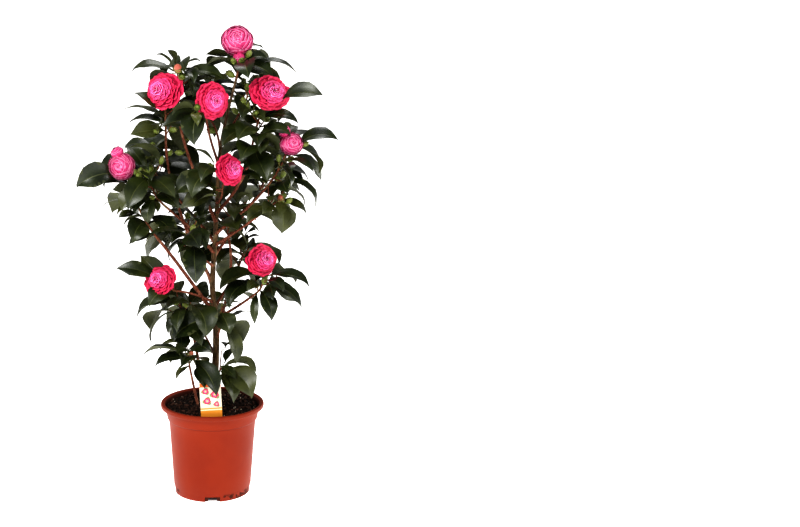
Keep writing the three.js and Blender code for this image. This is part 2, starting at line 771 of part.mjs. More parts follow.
// Materials
const paint = (color, roughness) => {
  return new THREE.MeshStandardMaterial({ color, roughness, metalness: 0 });
};
const POT_PLASTIC = paint(0xb9442c, 0.45);
const COMPOST = paint(0x241a14, 0.95);
const LABEL_CARD = paint(0xf2ead8, 0.4);
const TRUNK_BARK = paint(0x6b4a30, 0.85);
const BOUGH_BARK = paint(0x7a4a33, 0.8);
const LEAF_GREEN = paint(0x2f4a22, 0.42);

function piece(name, solid, material) {
  const mesh = solid.getMesh();
  const geometry = new THREE.BufferGeometry();
  const positions = new Float32Array(mesh.vertProperties);
  geometry.setAttribute("position", new THREE.BufferAttribute(positions, 3));
  geometry.setIndex([...mesh.triVerts]);
  const part = new THREE.Mesh(geometry, material);
  part.name = name;
  return part;
}

// Grow: limbs first, then what is set by eye on every spray, then the seeded rest
const limbs = Object.fromEntries(Object.entries(LIMBS).map(([name, row]) => [name, limbArc(row)]));
for (let z = 180; z < TRUNK.at(-1)[0]; z += 6) take([trunkAt(z).point], trunkAt(z).radius);
for (const path of Object.values(limbs)) take(limbPoints(path), path.radius(0.2));
for (const [name, [from, to]] of Object.entries(SHOWN)) {
  const n = Math.ceil((name === "trunk" ? to - from : limbs[name].length) / 6);
  for (let i = 0; i <= n; i += 1) {
    const t = from + ((to - from) * i) / n;
    shown.push(name === "trunk" ? trunkAt(t).point : limbs[name].at(t));
  }
}
const lean = Math.tan(LABEL_LEAN * DEG);
for (let z = LABEL_SHOULDER_Z; z < LABEL_TOP_Z; z += 8) {
  for (const x of [-14, -5, 5, 14]) take([[x - (z - LABEL_POINT_Z) * lean, LABEL_Y, z]], 4);
}
const top = TRUNK.at(-1)[0];
const tip = trunkAt(top).point;
const rise = unit(sub(tip, trunkAt(top - 12).point));
const leader = { at: () => add(tip, rise, 0.6), along: () => rise, radius: () => trunkAt(top).radius };
const sprays = Object.keys(SPRAYS).map((name) => {
  const limb = limbs[name.replace("spray", "bough")] ?? limbs[SPRAYS[name].limb] ?? leader;
  return startSpray(name, limb);
});
for (const spray of sprays) growSpray(spray);

// Build
const plant = new THREE.Group();
plant.name = "camellia_shrub";
const trunk = trunkSolid();
const around = trunkSolid(GAP);
let soil = soilSolid().subtract(around).subtract(labelSolid(GAP));
const boughs = [];
for (const [name, path] of Object.entries(limbs)) {
  const solid = limbSolid(path, LIMB_SIDES);
  if (name.startsWith("stem")) soil = soil.subtract(limbSolid(path, LIMB_SIDES, GAP));
  boughs.push(piece(name, largest(solid.subtract(around)), BOUGH_BARK));
}
plant.add(piece("pot", potSolid(), POT_PLASTIC));
plant.add(piece("soil", largest(soil), COMPOST));
plant.add(piece("label", labelSolid(), LABEL_CARD));
plant.add(piece("trunk", trunk, TRUNK_BARK));
plant.add(...boughs);
for (const spray of sprays) plant.add(piece(spray.name, spraySolid(spray), LEAF_GREEN));

export default plant;
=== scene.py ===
# %% [markdown]
# # A camellia in flower, in a round plastic pot
# The shrub was first built as plain solids: a pot, compost, a label, a trunk, boughs, and
# a spray of foliage at the tip of each bough. Those solids are the frame. This lesson
# dresses them piece by piece: what each piece is on the real plant, how it could be made,
# and why it is made this way here. Lengths are worked out in millimetres, as a grower
# would measure them, and become metres when a mesh is made.

# %% Load the frame
import math

import bpy
import numpy as np
from mathutils import Matrix, Vector, noise


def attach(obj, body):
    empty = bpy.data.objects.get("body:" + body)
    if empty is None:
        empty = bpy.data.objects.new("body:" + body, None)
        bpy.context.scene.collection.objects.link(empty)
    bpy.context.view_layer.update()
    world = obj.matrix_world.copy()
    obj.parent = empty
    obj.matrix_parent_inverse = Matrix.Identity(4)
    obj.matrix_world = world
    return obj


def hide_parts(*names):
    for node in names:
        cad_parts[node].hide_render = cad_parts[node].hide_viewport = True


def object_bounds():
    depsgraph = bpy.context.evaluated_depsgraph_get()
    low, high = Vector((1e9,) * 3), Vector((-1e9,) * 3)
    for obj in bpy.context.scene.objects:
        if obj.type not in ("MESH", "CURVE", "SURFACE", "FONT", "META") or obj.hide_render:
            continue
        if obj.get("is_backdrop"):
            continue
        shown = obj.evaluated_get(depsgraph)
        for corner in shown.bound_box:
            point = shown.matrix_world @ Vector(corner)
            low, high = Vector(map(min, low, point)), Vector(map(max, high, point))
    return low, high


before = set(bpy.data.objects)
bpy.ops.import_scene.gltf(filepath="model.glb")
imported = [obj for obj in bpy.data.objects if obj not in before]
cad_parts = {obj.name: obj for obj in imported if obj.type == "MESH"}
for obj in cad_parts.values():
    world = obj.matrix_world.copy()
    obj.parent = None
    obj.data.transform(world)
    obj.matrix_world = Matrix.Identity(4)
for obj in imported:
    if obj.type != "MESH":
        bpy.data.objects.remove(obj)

cad_low, cad_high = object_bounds()
MM = 0.001
BOX_LOW = np.array(cad_low) / MM
BOX_HIGH = np.array(cad_high) / MM
print("frame:", len(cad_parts), "nodes, box in mm", BOX_LOW.round(), BOX_HIGH.round())

# %% [markdown]
# ## Shader maths that reads like maths
# A finish is a tree of nodes. Adding each Math node by hand hides the idea, so one small
# class wraps a socket and gives it the usual signs, and one method makes any other node
# from its type, its settings and what goes into its sockets.

# %% Sockets and finishes
class Value:
    """A number that changes over the surface; signs on it add Math nodes."""

    def __init__(self, finish, socket):
        self.finish = finish
        self.socket = socket

    def math(self, operation, *others):
        sockets = dict(enumerate((self, *others)))
        return self.finish.node("ShaderNodeMath", {"operation": operation}, sockets)

    def __add__(self, other):
        return self.math("ADD", other)

    def __sub__(self, other):
        return self.math("SUBTRACT", other)

    def __mul__(self, other):
        return self.math("MULTIPLY", other)

    def __rsub__(self, other):
        return self.math("MULTIPLY", -1.0).math("ADD", other)

    __radd__ = __add__
    __rmul__ = __mul__

    def above(self, low, high):
        """0 below low, 1 above high, and smooth between them."""
        settings = {"interpolation_type": "SMOOTHSTEP"}
        sockets = {0: self, 1: low, 2: high, 3: 0.0, 4: 1.0}
        return self.finish.node("ShaderNodeMapRange", settings, sockets)


def tone(red, green, blue):
    """A colour as seen on screen, from 0 to 255, as the shader wants it."""
    def linear(value):
        value = value / 255
        return value / 12.92 if value <= 0.04045 else ((value + 0.055) / 1.055) ** 2.4

    return (linear(red), linear(green), linear(blue), 1.0)


class Finish:
    """A procedural material on one Principled shader."""

    def __init__(self, name, color, roughness, **constants):
        self.material = bpy.data.materials.new(name)
        self.material.use_nodes = True
        self.material.diffuse_color = color
        self.tree = self.material.node_tree
        self.shader = self.tree.nodes["Principled BSDF"]
        self.set("Base Color", color)
        self.set("Roughness", roughness)
        for key, value in constants.items():
            self.set(key.replace("_", " "), value)

    def plug(self, socket, value):
        if isinstance(value, Value):
            self.tree.links.new(value.socket, socket)
        else:
            socket.default_value = value

    def set(self, name, value):
        self.plug(self.shader.inputs[name], value)

    def node(self, kind, settings={}, sockets={}, output=0):
        made = self.tree.nodes.new(kind)
        for key, value in settings.items():
            setattr(made, key, value)
        for key, value in sockets.items():
            self.plug(made.inputs[key], value)
        return Value(self, made.outputs[output])

    def place(self, source="Object"):
        return self.node("ShaderNodeTexCoord", output=source)

    def stretched(self, scale, source="Object"):
        sockets = {"Vector": self.place(source), "Scale": scale}
        return self.node("ShaderNodeMapping", {}, sockets)

    def axis(self, letter, where=None):
        """One coordinate of a place."""
        return self.node("ShaderNodeSeparateXYZ", {}, {0: where or self.place()}, letter)

    def length(self, where):
        """How far a place is from the origin."""
        return self.node("ShaderNodeVectorMath", {"operation": "LENGTH"}, {0: where}, "Value")

    def noise(self, scale, detail=3.0, where=None):
        sockets = {"Vector": where or self.place(), "Scale": scale, "Detail": detail}
        return self.node("ShaderNodeTexNoise", {}, sockets)

    def mix(self, factor, first, second):
        settings = {"data_type": "RGBA"}
        return self.node("ShaderNodeMix", settings, {0: factor, 6: first, 7: second}, 2)

    def relief(self, height, distance, strength=1.0):
        sockets = {"Strength": strength, "Distance": distance, "Height": height}
        self.set("Normal", self.node("ShaderNodeBump", {}, sockets))


print("shader helpers ready")

# %% [markdown]
# ## Camera
# The shrub stands left of the middle of a wide picture, seen from a little above its
# crown and from nearly three metres away. The camera is level from side to side, tips
# down 13 degrees, and turns to the right so that the shrub comes left of the middle. A
# long lens keeps the upright lines of the pot almost parallel.

# %% Camera
TIP_DOWN, TURN_RIGHT = 12.98, 6.82
bpy.ops.object.camera_add(location=(0, -2.8, 1.08))
camera = bpy.context.object
camera.name = "camera"
camera.data.lens = 70.55
camera.data.sensor_width = 36
tip_down = Matrix.Rotation(math.radians(90 - TIP_DOWN), 4, "X")
turn_right = Matrix.Rotation(math.radians(-TURN_RIGHT), 4, "Y")
camera.matrix_world = Matrix.Translation(camera.location) @ tip_down @ turn_right
bpy.context.scene.camera = camera
print("camera lens", round(camera.data.lens, 1), "mm")

# %% [markdown]
# ## Floor and light
# A pale studio. The floor is one wide plane that runs out of sight, so that no corner
# shows. It glows a little, as paper lit from below does, but not under the pot, so that
# the notches look dark.

# %% Floor
DARK_WITHIN, GLOW_BEYOND = 0.054, 0.070  # metres from the pot's axis


def deselect():
    if bpy.context.object and bpy.context.object.mode != "OBJECT":
        bpy.ops.object.mode_set(mode="OBJECT")
    bpy.ops.object.select_all(action="DESELECT")


deselect()
bpy.ops.mesh.primitive_plane_add(size=80)
floor = bpy.context.object
floor.name = "floor"
paper = Finish("studio_paper", (0.92, 0.92, 0.92, 1), 0.9, Specular_IOR_Level=0.1)
paper.set("Emission Strength", 0.85)
outside = paper.length(paper.place()).above(DARK_WITHIN, GLOW_BEYOND)
paper.set("Emission Color", paper.mix(outside, (0.03, 0.02, 0.02, 1), (1.0, 0.99, 0.98, 1)))
floor.data.materials.append(paper.material)
floor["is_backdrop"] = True
print("floor:", round(floor.dimensions.x), "m across")

# %% [markdown]
# The sky is white to look at and gives only a weak light, so that the leaves keep their
# dark side. The big lamp stands high on the left in front, as in a plant photograph, a
# weaker one fills from the right, and three beside and behind the shrub draw a pale rim
# on the leaves and on both sides of the pot. Broad discs keep every shadow soft.

# %% Sky and lamps
SKY_LIGHT, SKY_SEEN = 0.3, 1.1
world = bpy.data.worlds.new("studio")
bpy.context.scene.world = world
world.use_nodes = True
sky = world.node_tree.nodes["Background"]
sky.inputs["Color"].default_value = (1, 1, 1, 1)
seen = world.node_tree.nodes.new("ShaderNodeLightPath")
level = world.node_tree.nodes.new("ShaderNodeMapRange")
level.inputs["To Min"].default_value = SKY_LIGHT
level.inputs["To Max"].default_value = SKY_SEEN
world.node_tree.links.new(seen.outputs["Is Camera Ray"], level.inputs["Value"])
world.node_tree.links.new(level.outputs["Result"], sky.inputs["Strength"])

# Name, place, width in metres, power in watts
LAMPS = [
    ("key_lamp", (-1.0, -2.0, 2.2), 0.9, 46),
    ("fill_lamp", (1.8, -1.8, 1.0), 1.2, 12),
    ("left_lamp", (-1.7, 0.6, 0.6), 0.8, 9),
    ("right_lamp", (1.7, 0.6, 0.6), 0.8, 11),
    ("top_lamp", (0.2, 0.9, 2.5), 1.0, 12),
]
for name, place, width, power in LAMPS:
    bpy.ops.object.light_add(type="AREA", location=place)
    lamp = bpy.context.object
    lamp.name = name
    lamp.data.shape = "DISK"
    lamp.data.size = width
    lamp.data.energy = power
    aim = Vector((0, 0, 0.5)) - lamp.location
    lamp.rotation_euler = aim.to_track_quat("-Z", "Y").to_euler()
bpy.context.scene.view_settings.view_transform = "Standard"
bpy.context.scene.view_settings.look = "High Contrast"
print("sky and", len(LAMPS), "lamps")

# %% [markdown]
# ## Pot
# The real pot is thin orange plastic, moulded in one piece: a foot ring with notches, a
# wall that widens a little, a band, a flared collar and a rolled lip. A modeller can turn
# a profile, or pull one ring up step by step. Here a small disc at the middle of the
# underside is extruded ring after ring, out, up, over the lip and down the inside, so
# that the wall is one closed skin, and a Bevel rounds every moulded edge.

# %% Pot: the profile pulled up ring by ring
# Radius and height: underside, foot ring, wall, collar, lip, and down the inside
POT_RINGS = [
    (0.6, 0), (20, 0), (21, 8), (65.4, 8), (65.6, 0), (69.4, 0), (70.2, 13), (71.4, 15),
    (73.4, 45), (76.3, 90), (78.8, 127), (80.6, 141), (82.9, 143), (84.4, 151), (86, 159),
    (87.2, 162.4), (93.4, 163.4), (94.6, 164.4), (95, 166.4), (95, 168.6), (94.4, 170.8),
    (93, 171.8), (91, 172), (89, 171.6), (87.6, 170.4), (86, 166), (84.1, 159),
    (79.4, 140), (77, 127), (71.4, 60), (69.2, 11), (30, 11), (1, 11),
]


def pull_rings(rings, vertices, name):
    """A closed turned piece: a disc extruded through rings of (radius, height)."""
    deselect()
    (radius, height), *rest = rings
    bpy.ops.mesh.primitive_circle_add(
        vertices=vertices, radius=radius * MM, fill_type="NGON", location=(0, 0, height * MM)
    )
    piece = bpy.context.object
    piece.name = name
    bpy.ops.object.mode_set(mode="EDIT")
    for next_radius, next_height in rest:
        step = (0, 0, (next_height - height) * MM)
        bpy.ops.mesh.extrude_region_move(TRANSFORM_OT_translate={"value": step})
        grow = next_radius / radius
        centre = (0, 0, next_height * MM)
        bpy.ops.transform.resize(value=(grow, grow, 1), center_override=centre)
        radius, height = next_radius, next_height
    bpy.ops.mesh.select_all(action="SELECT")
    bpy.ops.mesh.normals_make_consistent(inside=False)
    bpy.ops.object.mode_set(mode="OBJECT")
    bpy.ops.object.transform_apply(location=True, rotation=True, scale=True)
    return piece


def apply_modifier(piece, kind, **settings):
    """Adds a modifier, sets it and applies it, as one does from its panel."""
    deselect()
    piece.select_set(True)
    bpy.context.view_layer.objects.active = piece
    modifier = piece.modifiers.new(kind.lower(), kind)
    for key, value in settings.items():
        setattr(modifier, key, value)
    bpy.ops.object.modifier_apply(modifier=modifier.name)


def smooth(piece, degrees):
    deselect()
    piece.select_set(True)
    bpy.context.view_layer.objects.active = piece
    bpy.ops.object.shade_smooth_by_angle(angle=math.radians(degrees))


pot = pull_rings(POT_RINGS, 128, "camellia_pot")
bevel = {"width": 0.5 * MM, "segments": 2, "limit_method": "ANGLE"}
apply_modifier(pot, "BEVEL", angle_limit=math.radians(28), **bevel)
print("pot wall:", len(pot.data.polygons), "faces")

# %% [markdown]
# The foot ring is cut by four notches and the floor by four drain holes, so that water
# runs off. In plastic these are left out of the mould; in a mesh they are cutters, one
# block and one rod copied round the pot and taken away with a Boolean.

# %% Pot: notches and drain holes
NOTCH_AT, HOLE_AT = 71, 48
cutters = []
for quarter in range(4):
    turn = quarter * math.pi / 2
    deselect()
    place = (NOTCH_AT * MM * math.sin(turn), -NOTCH_AT * MM * math.cos(turn), 0)
    bpy.ops.mesh.primitive_cube_add(size=1, location=place, rotation=(0, 0, turn))
    notch = bpy.context.object
    notch.scale = (28 * MM, 12 * MM, 19 * MM)
    bpy.ops.object.transform_apply(location=True, rotation=True, scale=True)
    apply_modifier(notch, "BEVEL", width=1.5 * MM, segments=3)
    turn += math.pi / 4
    place = (HOLE_AT * MM * math.sin(turn), -HOLE_AT * MM * math.cos(turn), 9 * MM)
    deselect()
    bpy.ops.mesh.primitive_cylinder_add(vertices=32, radius=5 * MM, depth=12 * MM, location=place)
    cutters += [notch, bpy.context.object]
deselect()
for cutter in cutters:
    cutter.select_set(True)
bpy.context.view_layer.objects.active = cutters[0]
bpy.ops.object.join()
apply_modifier(pot, "BOOLEAN", object=cutters[0], operation="DIFFERENCE", solver="EXACT")
bpy.data.objects.remove(cutters[0])
smooth(pot, 32)
print("pot with notches:", len(pot.data.polygons), "faces")

# %% [markdown]
# The plastic is terracotta orange, a little shiny, and slightly uneven where it cooled.
# Its lip is darker, and compost has dried along the foot, most of it right of the front
# notch. Painted shade darkens a thin line under the collar and the faces cut inside the
# notches, and compost dust with painted shade darkens the inner wall. Height and place
# give those, and two noises of different size the rest.

# %% Pot: plastic
plastic = Finish("pot_plastic", tone(136, 43, 14), 0.5, Specular_IOR_Level=0.2)
cooled = plastic.noise(14.0, 3.0)
streak = plastic.noise(1.0, 4.0, plastic.stretched((60, 60, 9)))
body = plastic.mix(cooled.above(0.3, 0.7), tone(133, 41, 12), tone(140, 46, 15))
body = plastic.mix(streak.above(0.55, 0.8) * 0.2, body, tone(152, 60, 28))
across, ahead, height = (plastic.axis(letter) for letter in "XYZ")
reach = plastic.length(plastic.stretched((1, 1, 0)))
# Masks, in metres: the darker lip, painted shade under the collar, and the inner wall
lip = height.above(0.1625, 0.1645)
body = plastic.mix(lip * 0.4, body, tone(122, 44, 18))
# Painted shade: a thin dark line just under the collar's step, where it overhangs the wall
collar_shade = height.above(0.1398, 0.1412) * (1 - height.above(0.1418, 0.1434))
body = plastic.mix(collar_shade * 0.5, body, tone(96, 26, 8))
# The inner wall above the compost, darkened by compost dust and by painted shade
inside = 1 - (reach - height * 0.19).above(0.0546, 0.0555)
inside = inside * height.above(0.145, 0.152) * (1 - height.above(0.1690, 0.1715) * 0.6)
body = plastic.mix(inside * 0.85, body, tone(50, 24, 15))
# Dried splashes beside the front notch, and painted shade on the faces cut inside the foot
splash = plastic.noise(110.0, 6.0).above(0.46, 0.54)
low = 1 - height.above(0.009, 0.015)
side = across.above(0.014, 0.022) + (1 - across.above(-0.064, -0.058))
dirt = splash * low * side * (1 - ahead.above(-0.02, -0.01))
# Painted shade: the faces cut inside the notches are darkened as if in the pot's shadow
cut = (1 - reach.above(0.0684, 0.0692)) * (1 - height.above(0.0100, 0.0108))
body = plastic.mix(dirt * 0.85, body, tone(50, 26, 18))
body = plastic.mix(cut * 0.8, body, tone(46, 22, 12))
plastic.set("Base Color", body)
plastic.set("Roughness", plastic.noise(30.0, 3.0) * 0.16 + 0.42 + (dirt + inside) * 0.3)
plastic.relief(plastic.noise(700.0, 2.0) * 0.3 + streak * 0.7, 0.0002, 0.5)


def dress(piece, name, slot, finishes, *nodes):
    """Names a finished piece, gives it its finishes, and ties it to the frame."""
    piece.name = name
    piece.data.name = name
    for finish in finishes:
        piece.data.materials.append(finish.material)
    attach(piece, "root")
    if nodes:
        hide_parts(*nodes)
    print(name, "has", len(piece.data.polygons), "faces")


dress(pot, "camellia_pot", "pot", [plastic], "pot")

# %% [markdown]
# ## Compost
# The pot is filled to just under its lip, and the compost rises a little towards the
# trunk. A turned piece gives its body down to the floor of the pot. Its top rings are
# close together, so that a cloudy Displace can make them uneven, and only the top moves:
# its points are picked by height into a vertex group first.

# %% Compost: body
SOIL_RADIUS = 84.6
SOIL_EDGE, SOIL_RISE = 163.5, 12.3
SOIL_STEPS = 30


def soil_height(share):
    """Height of the top, for a share of 0 at the pot's wall and 1 in the middle."""
    return SOIL_EDGE + SOIL_RISE * math.sin(share * 1.5)


SOIL_RINGS = [(1, 11.4), (68.2, 11.4), (76.4, 126), (82.0, 152), (84.4, 162.6)]
for step in range(1, SOIL_STEPS + 1):
    share = step / SOIL_STEPS
    SOIL_RINGS.append((SOIL_RADIUS * (1 - share) + 1.0 * share, soil_height(share)))
compost_body = pull_rings(SOIL_RINGS, 112, "camellia_compost")
top = compost_body.vertex_groups.new(name="top")
high = [v.index for v in compost_body.data.vertices if v.co.z > (SOIL_EDGE - 0.3) * MM]
top.add(high, 1.0, "REPLACE")
clods = bpy.data.textures.new("clods", "CLOUDS")
clods.noise_scale = 0.009
clods.noise_depth = 3
apply_modifier(
    compost_body, "DISPLACE", texture=clods, strength=5 * MM, mid_level=0.5,
    vertex_group="top", texture_coords="LOCAL",
)
smooth(compost_body, 40)
print("compost:", len(high), "points of its top moved")

# %% [markdown]
# Compost is nearly black when moist, with bark fibres and a few white grains of perlite
# that keep it open. The body's colour is mixed from noise, with brown flecks from a
# Voronoi pattern, and fibres and grains have finishes of their own.

# %% Compost: finishes
compost = Finish("compost", tone(32, 22, 18), 0.95, Specular_IOR_Level=0.2)
crumb = compost.noise(260.0, 5.0)
fleck = compost.node("ShaderNodeTexVoronoi", {}, {"Vector": compost.place(), "Scale": 240.0})
dark = compost.mix(crumb.above(0.35, 0.65), tone(16, 11, 9), tone(48, 32, 24))
compost.set("Base Color", compost.mix((1 - fleck.above(0.12, 0.2)) * 0.5, dark, tone(96, 66, 48)))
compost.relief(crumb + fleck * 0.5, 0.002, 0.9)
bark_chip = Finish("bark_chip", tone(74, 48, 32), 0.9)
chip = bark_chip.noise(300.0, 3.0)
bark_chip.set("Base Color", bark_chip.mix(chip, tone(34, 20, 15), tone(96, 60, 42)))
perlite = Finish("perlite", tone(205, 196, 180), 0.8)
speck = perlite.noise(500.0, 3.0)
perlite.set("Base Color", perlite.mix(speck, tone(130, 116, 98), tone(196, 184, 166)))
dress(compost_body, "camellia_compost", "soil", [compost], "soil")

# %% [markdown]
# Crumbs, fibres and grains lie loose on top. Painted ones would look flat from the side,
# and an object for each would be slow. So a helper gathers many small closed shapes into
# one mesh, and a rough ball goes into it again and again, in many sizes and turns.

# %% Compost: crumbs
class Gathering:
    """Many small closed shapes gathered into one mesh, each face with its own finish."""

    def __init__(self):
        self.points = []
        self.faces = []
        self.finishes = []
        self.total = 0

    def add(self, points, faces, finishes):
        start = self.total
        self.points.append(np.asarray(points, float))
        self.faces += [tuple(start + i for i in face) for face in faces]
        self.finishes += finishes if isinstance(finishes, list) else [finishes] * len(faces)
        self.total += len(points)

    def piece(self, name, degrees):
        mesh = bpy.data.meshes.new(name)
        points = np.concatenate(self.points) * MM
        mesh.from_pydata(points.tolist(), [], self.faces)
        mesh.polygons.foreach_set("material_index", self.finishes)
        made = bpy.data.objects.new(name, mesh)
        bpy.context.scene.collection.objects.link(made)
        smooth(made, degrees)
        return made


deselect()
bpy.ops.mesh.primitive_ico_sphere_add(subdivisions=1, radius=1)
lump = bpy.context.object
LUMP_POINTS = np.array([v.co for v in lump.data.vertices])
LUMP_FACES = [tuple(f.vertices) for f in lump.data.polygons]
bpy.data.objects.remove(lump)


def soil_top(radius):
    share = (SOIL_RADIUS - radius) / (SOIL_RADIUS - 1)
    return soil_height(min(max(share, 0), 1))


CRUMB_COUNT, CRUMB_REACH = 1150, 82.5
crumbs = Gathering()
dice = np.random.default_rng(7)
for number in range(CRUMB_COUNT):
    radius = CRUMB_REACH * math.sqrt(dice.random())
    turn = dice.random() * 2 * math.pi
    kind = 2 if number % 37 == 0 else 1 if number % 3 == 0 else 0
    size = dice.uniform(0.8, 2.0) if kind != 1 else dice.uniform(1.0, 2.8)
    shape = LUMP_POINTS * dice.uniform(0.6, 1.3, 3) * size
    shape = shape * (1 + 0.25 * dice.standard_normal((len(shape), 1)))
    spin = Matrix.Rotation(dice.random() * 6.28, 3, Vector(dice.standard_normal(3)))
    middle = (radius * math.cos(turn), radius * math.sin(turn), soil_top(radius) + size * 0.3)
    crumbs.add(shape @ np.array(spin) + middle, LUMP_FACES, kind)
dress(crumbs.piece("compost_crumbs", 20), "compost_crumbs", "soil", [compost, bark_chip, perlite])

# %% [markdown]
# ## Care label
# A stiff printed card stands in the compost in front of the trunk. A block is its start:
# its lower face is extruded down twice and drawn in to a point, its two upper corners are
# bevelled round, and the whole leans three degrees. Its UV map is laid on while it is
# still upright, so that the print leans with the card.

# %% Care label: card
LABEL_MIDDLE_Y = -75
LABEL_WIDE, LABEL_HIGH, LABEL_FOOT, LABEL_LEAN = 38.5, 92, 142, 3
BLOCK_LOW, BLOCK_HIGH = 162, 234
deselect()
block_middle = (BLOCK_LOW + BLOCK_HIGH) / 2
bpy.ops.mesh.primitive_cube_add(size=1, location=(0, LABEL_MIDDLE_Y * MM, block_middle * MM))
card = bpy.context.object
card.scale = (LABEL_WIDE * MM, 1.2 * MM, (BLOCK_HIGH - BLOCK_LOW) * MM)
bpy.ops.object.transform_apply(location=True, rotation=True, scale=True)


def pick(piece, kind, rule):
    """Selects the faces or edges of a piece whose middle passes a rule."""
    bpy.ops.object.mode_set(mode="EDIT")
    bpy.ops.mesh.select_mode(type=kind)
    bpy.ops.mesh.select_all(action="DESELECT")
    bpy.ops.object.mode_set(mode="OBJECT")
    mesh = piece.data
    for item in mesh.edges if kind == "EDGE" else mesh.polygons:
        corners = [mesh.vertices[i].co for i in item.vertices]
        item.select = rule(sum(corners, Vector()) / len(corners), corners)
    bpy.ops.object.mode_set(mode="EDIT")


pick(card, "FACE", lambda middle, corners: middle.z < (BLOCK_LOW + 0.5) * MM)
for drop, narrow in ((16, 0.5), (3.6, 0.06)):
    step = (0, 0, -drop * MM)
    bpy.ops.mesh.extrude_region_move(TRANSFORM_OT_translate={"value": step})
    centre = (0, LABEL_MIDDLE_Y * MM, 0.145)
    bpy.ops.transform.resize(value=(narrow, 1, 1), center_override=centre)
bpy.ops.object.mode_set(mode="OBJECT")
is_high = (BLOCK_HIGH - 1) * MM
pick(card, "EDGE", lambda middle, c: middle.z > is_high and abs(c[0].x - c[1].x) < 1e-6)
bpy.ops.mesh.bevel(offset=5 * MM, segments=8, affect="EDGES")
bpy.ops.object.mode_set(mode="OBJECT")
apply_modifier(card, "BEVEL", width=0.2 * MM, segments=2, limit_method="ANGLE")
layer = card.data.uv_layers.new(name="print")
for loop in card.data.loops:
    point = card.data.vertices[loop.vertex_index].co
    from_foot = point.z - LABEL_FOOT * MM
    across = point.x / (LABEL_WIDE * MM) + 0.5
    layer.data[loop.index].uv = (across, from_foot / (LABEL_HIGH * MM))
lean = Matrix.Rotation(math.radians(-LABEL_LEAN), 4, "Y")
foot = Matrix.Translation((0, 0, LABEL_FOOT * MM))
card.data.transform(foot @ lean @ foot.inverted())
smooth(card, 30)
print("label card:", len(card.data.polygons), "faces")

# %% [markdown]
# The print is plain and generic: an orange band above and below, and simple round flowers
# on cream. It is drawn by the shader, without a picture: a disc is a distance from its
# middle that stays below a limit, and a wave added to the distance gives it petals.

# %% Care label: print
printed = Finish("label_print", tone(226, 216, 196), 0.4, Specular_IOR_Level=0.3)
at = printed.node("ShaderNodeUVMap", {"uv_map": "print"})
across, up = printed.axis("X", at), printed.axis("Y", at)
ink = printed.mix(printed.noise(60.0, 2.0), tone(232, 222, 202), tone(220, 208, 184))
band = up.above(0.885, 0.888) * (1 - up.above(0.965, 0.968))
foot_band = 1 - up.above(0.455, 0.46)
line = (1 - up.above(0.43, 0.433)) * up.above(0.405, 0.408)
ink = printed.mix(band, ink, tone(226, 110, 44))
ink = printed.mix(foot_band, ink, tone(238, 158, 60))
ink = printed.mix(line, ink, tone(250, 236, 200))
# Middle and width of each flower, as shares of the card
FLOWERS = [(0.27, 0.80, 0.150), (0.70, 0.73, 0.185), (0.33, 0.60, 0.165), (0.76, 0.53, 0.12)]
for x, y, wide in FLOWERS:
    left = across - x
    over = (up - y) * 2.4
    far = (left * left + over * over).math("SQRT")
    turn = over.math("ARCTAN2", left)
    edge = far + (turn * 6.0).math("SINE") * (wide * 0.09)
    leafy = 1 - (far + (turn * 3.0 + 1.0).math("SINE") * (wide * 0.35)).above(wide, wide * 1.04)
    ink = printed.mix(leafy * 0.8, ink, tone(92, 122, 58))
    ink = printed.mix(1 - edge.above(wide * 0.92, wide), ink, tone(212, 48, 84))
    ink = printed.mix(1 - edge.above(wide * 0.55, wide * 0.62), ink, tone(238, 120, 156))
    ink = printed.mix(1 - far.above(wide * 0.2, wide * 0.26), ink, tone(250, 214, 120))
printed.set("Base Color", ink)
printed.relief(printed.noise(900.0, 2.0), 0.0001, 0.3)
dress(card, "care_label", "label", [printed], "label")

# %% [markdown]
# ## The shrub's growth rule
# Thousands of points would be dull to place by hand, so the solids were grown by a rule,
# and the same rule is written again here: a trunk through a short table of heights, limbs
# drawn as single bends, and at each tip a spray of one stem with twigs, leaves and buds
# dealt out by a seeded stream of numbers. The same seeds give the same leaves, so every
# fine leaf made here lies in the place of its solid.

# %% Growth: trunk and limbs
# Trunk: height, x, y, radius
TRUNK = [
    (146, 0, 2, 8.2),
    (168, 0, 2, 9.4),
    (184, 1, 1, 7.2),
    (255, 6, -1, 6.3),
    (319, 6, -2, 5.8),
    (391, 0, 0, 4.9),
    (470, 4, 2, 4.3),
    (541, 8, 3, 3.7),
    (628, 12, 1, 3.1),
    (700, 24, -2, 2.7),
    (772, 42, -5, 2.2),
]

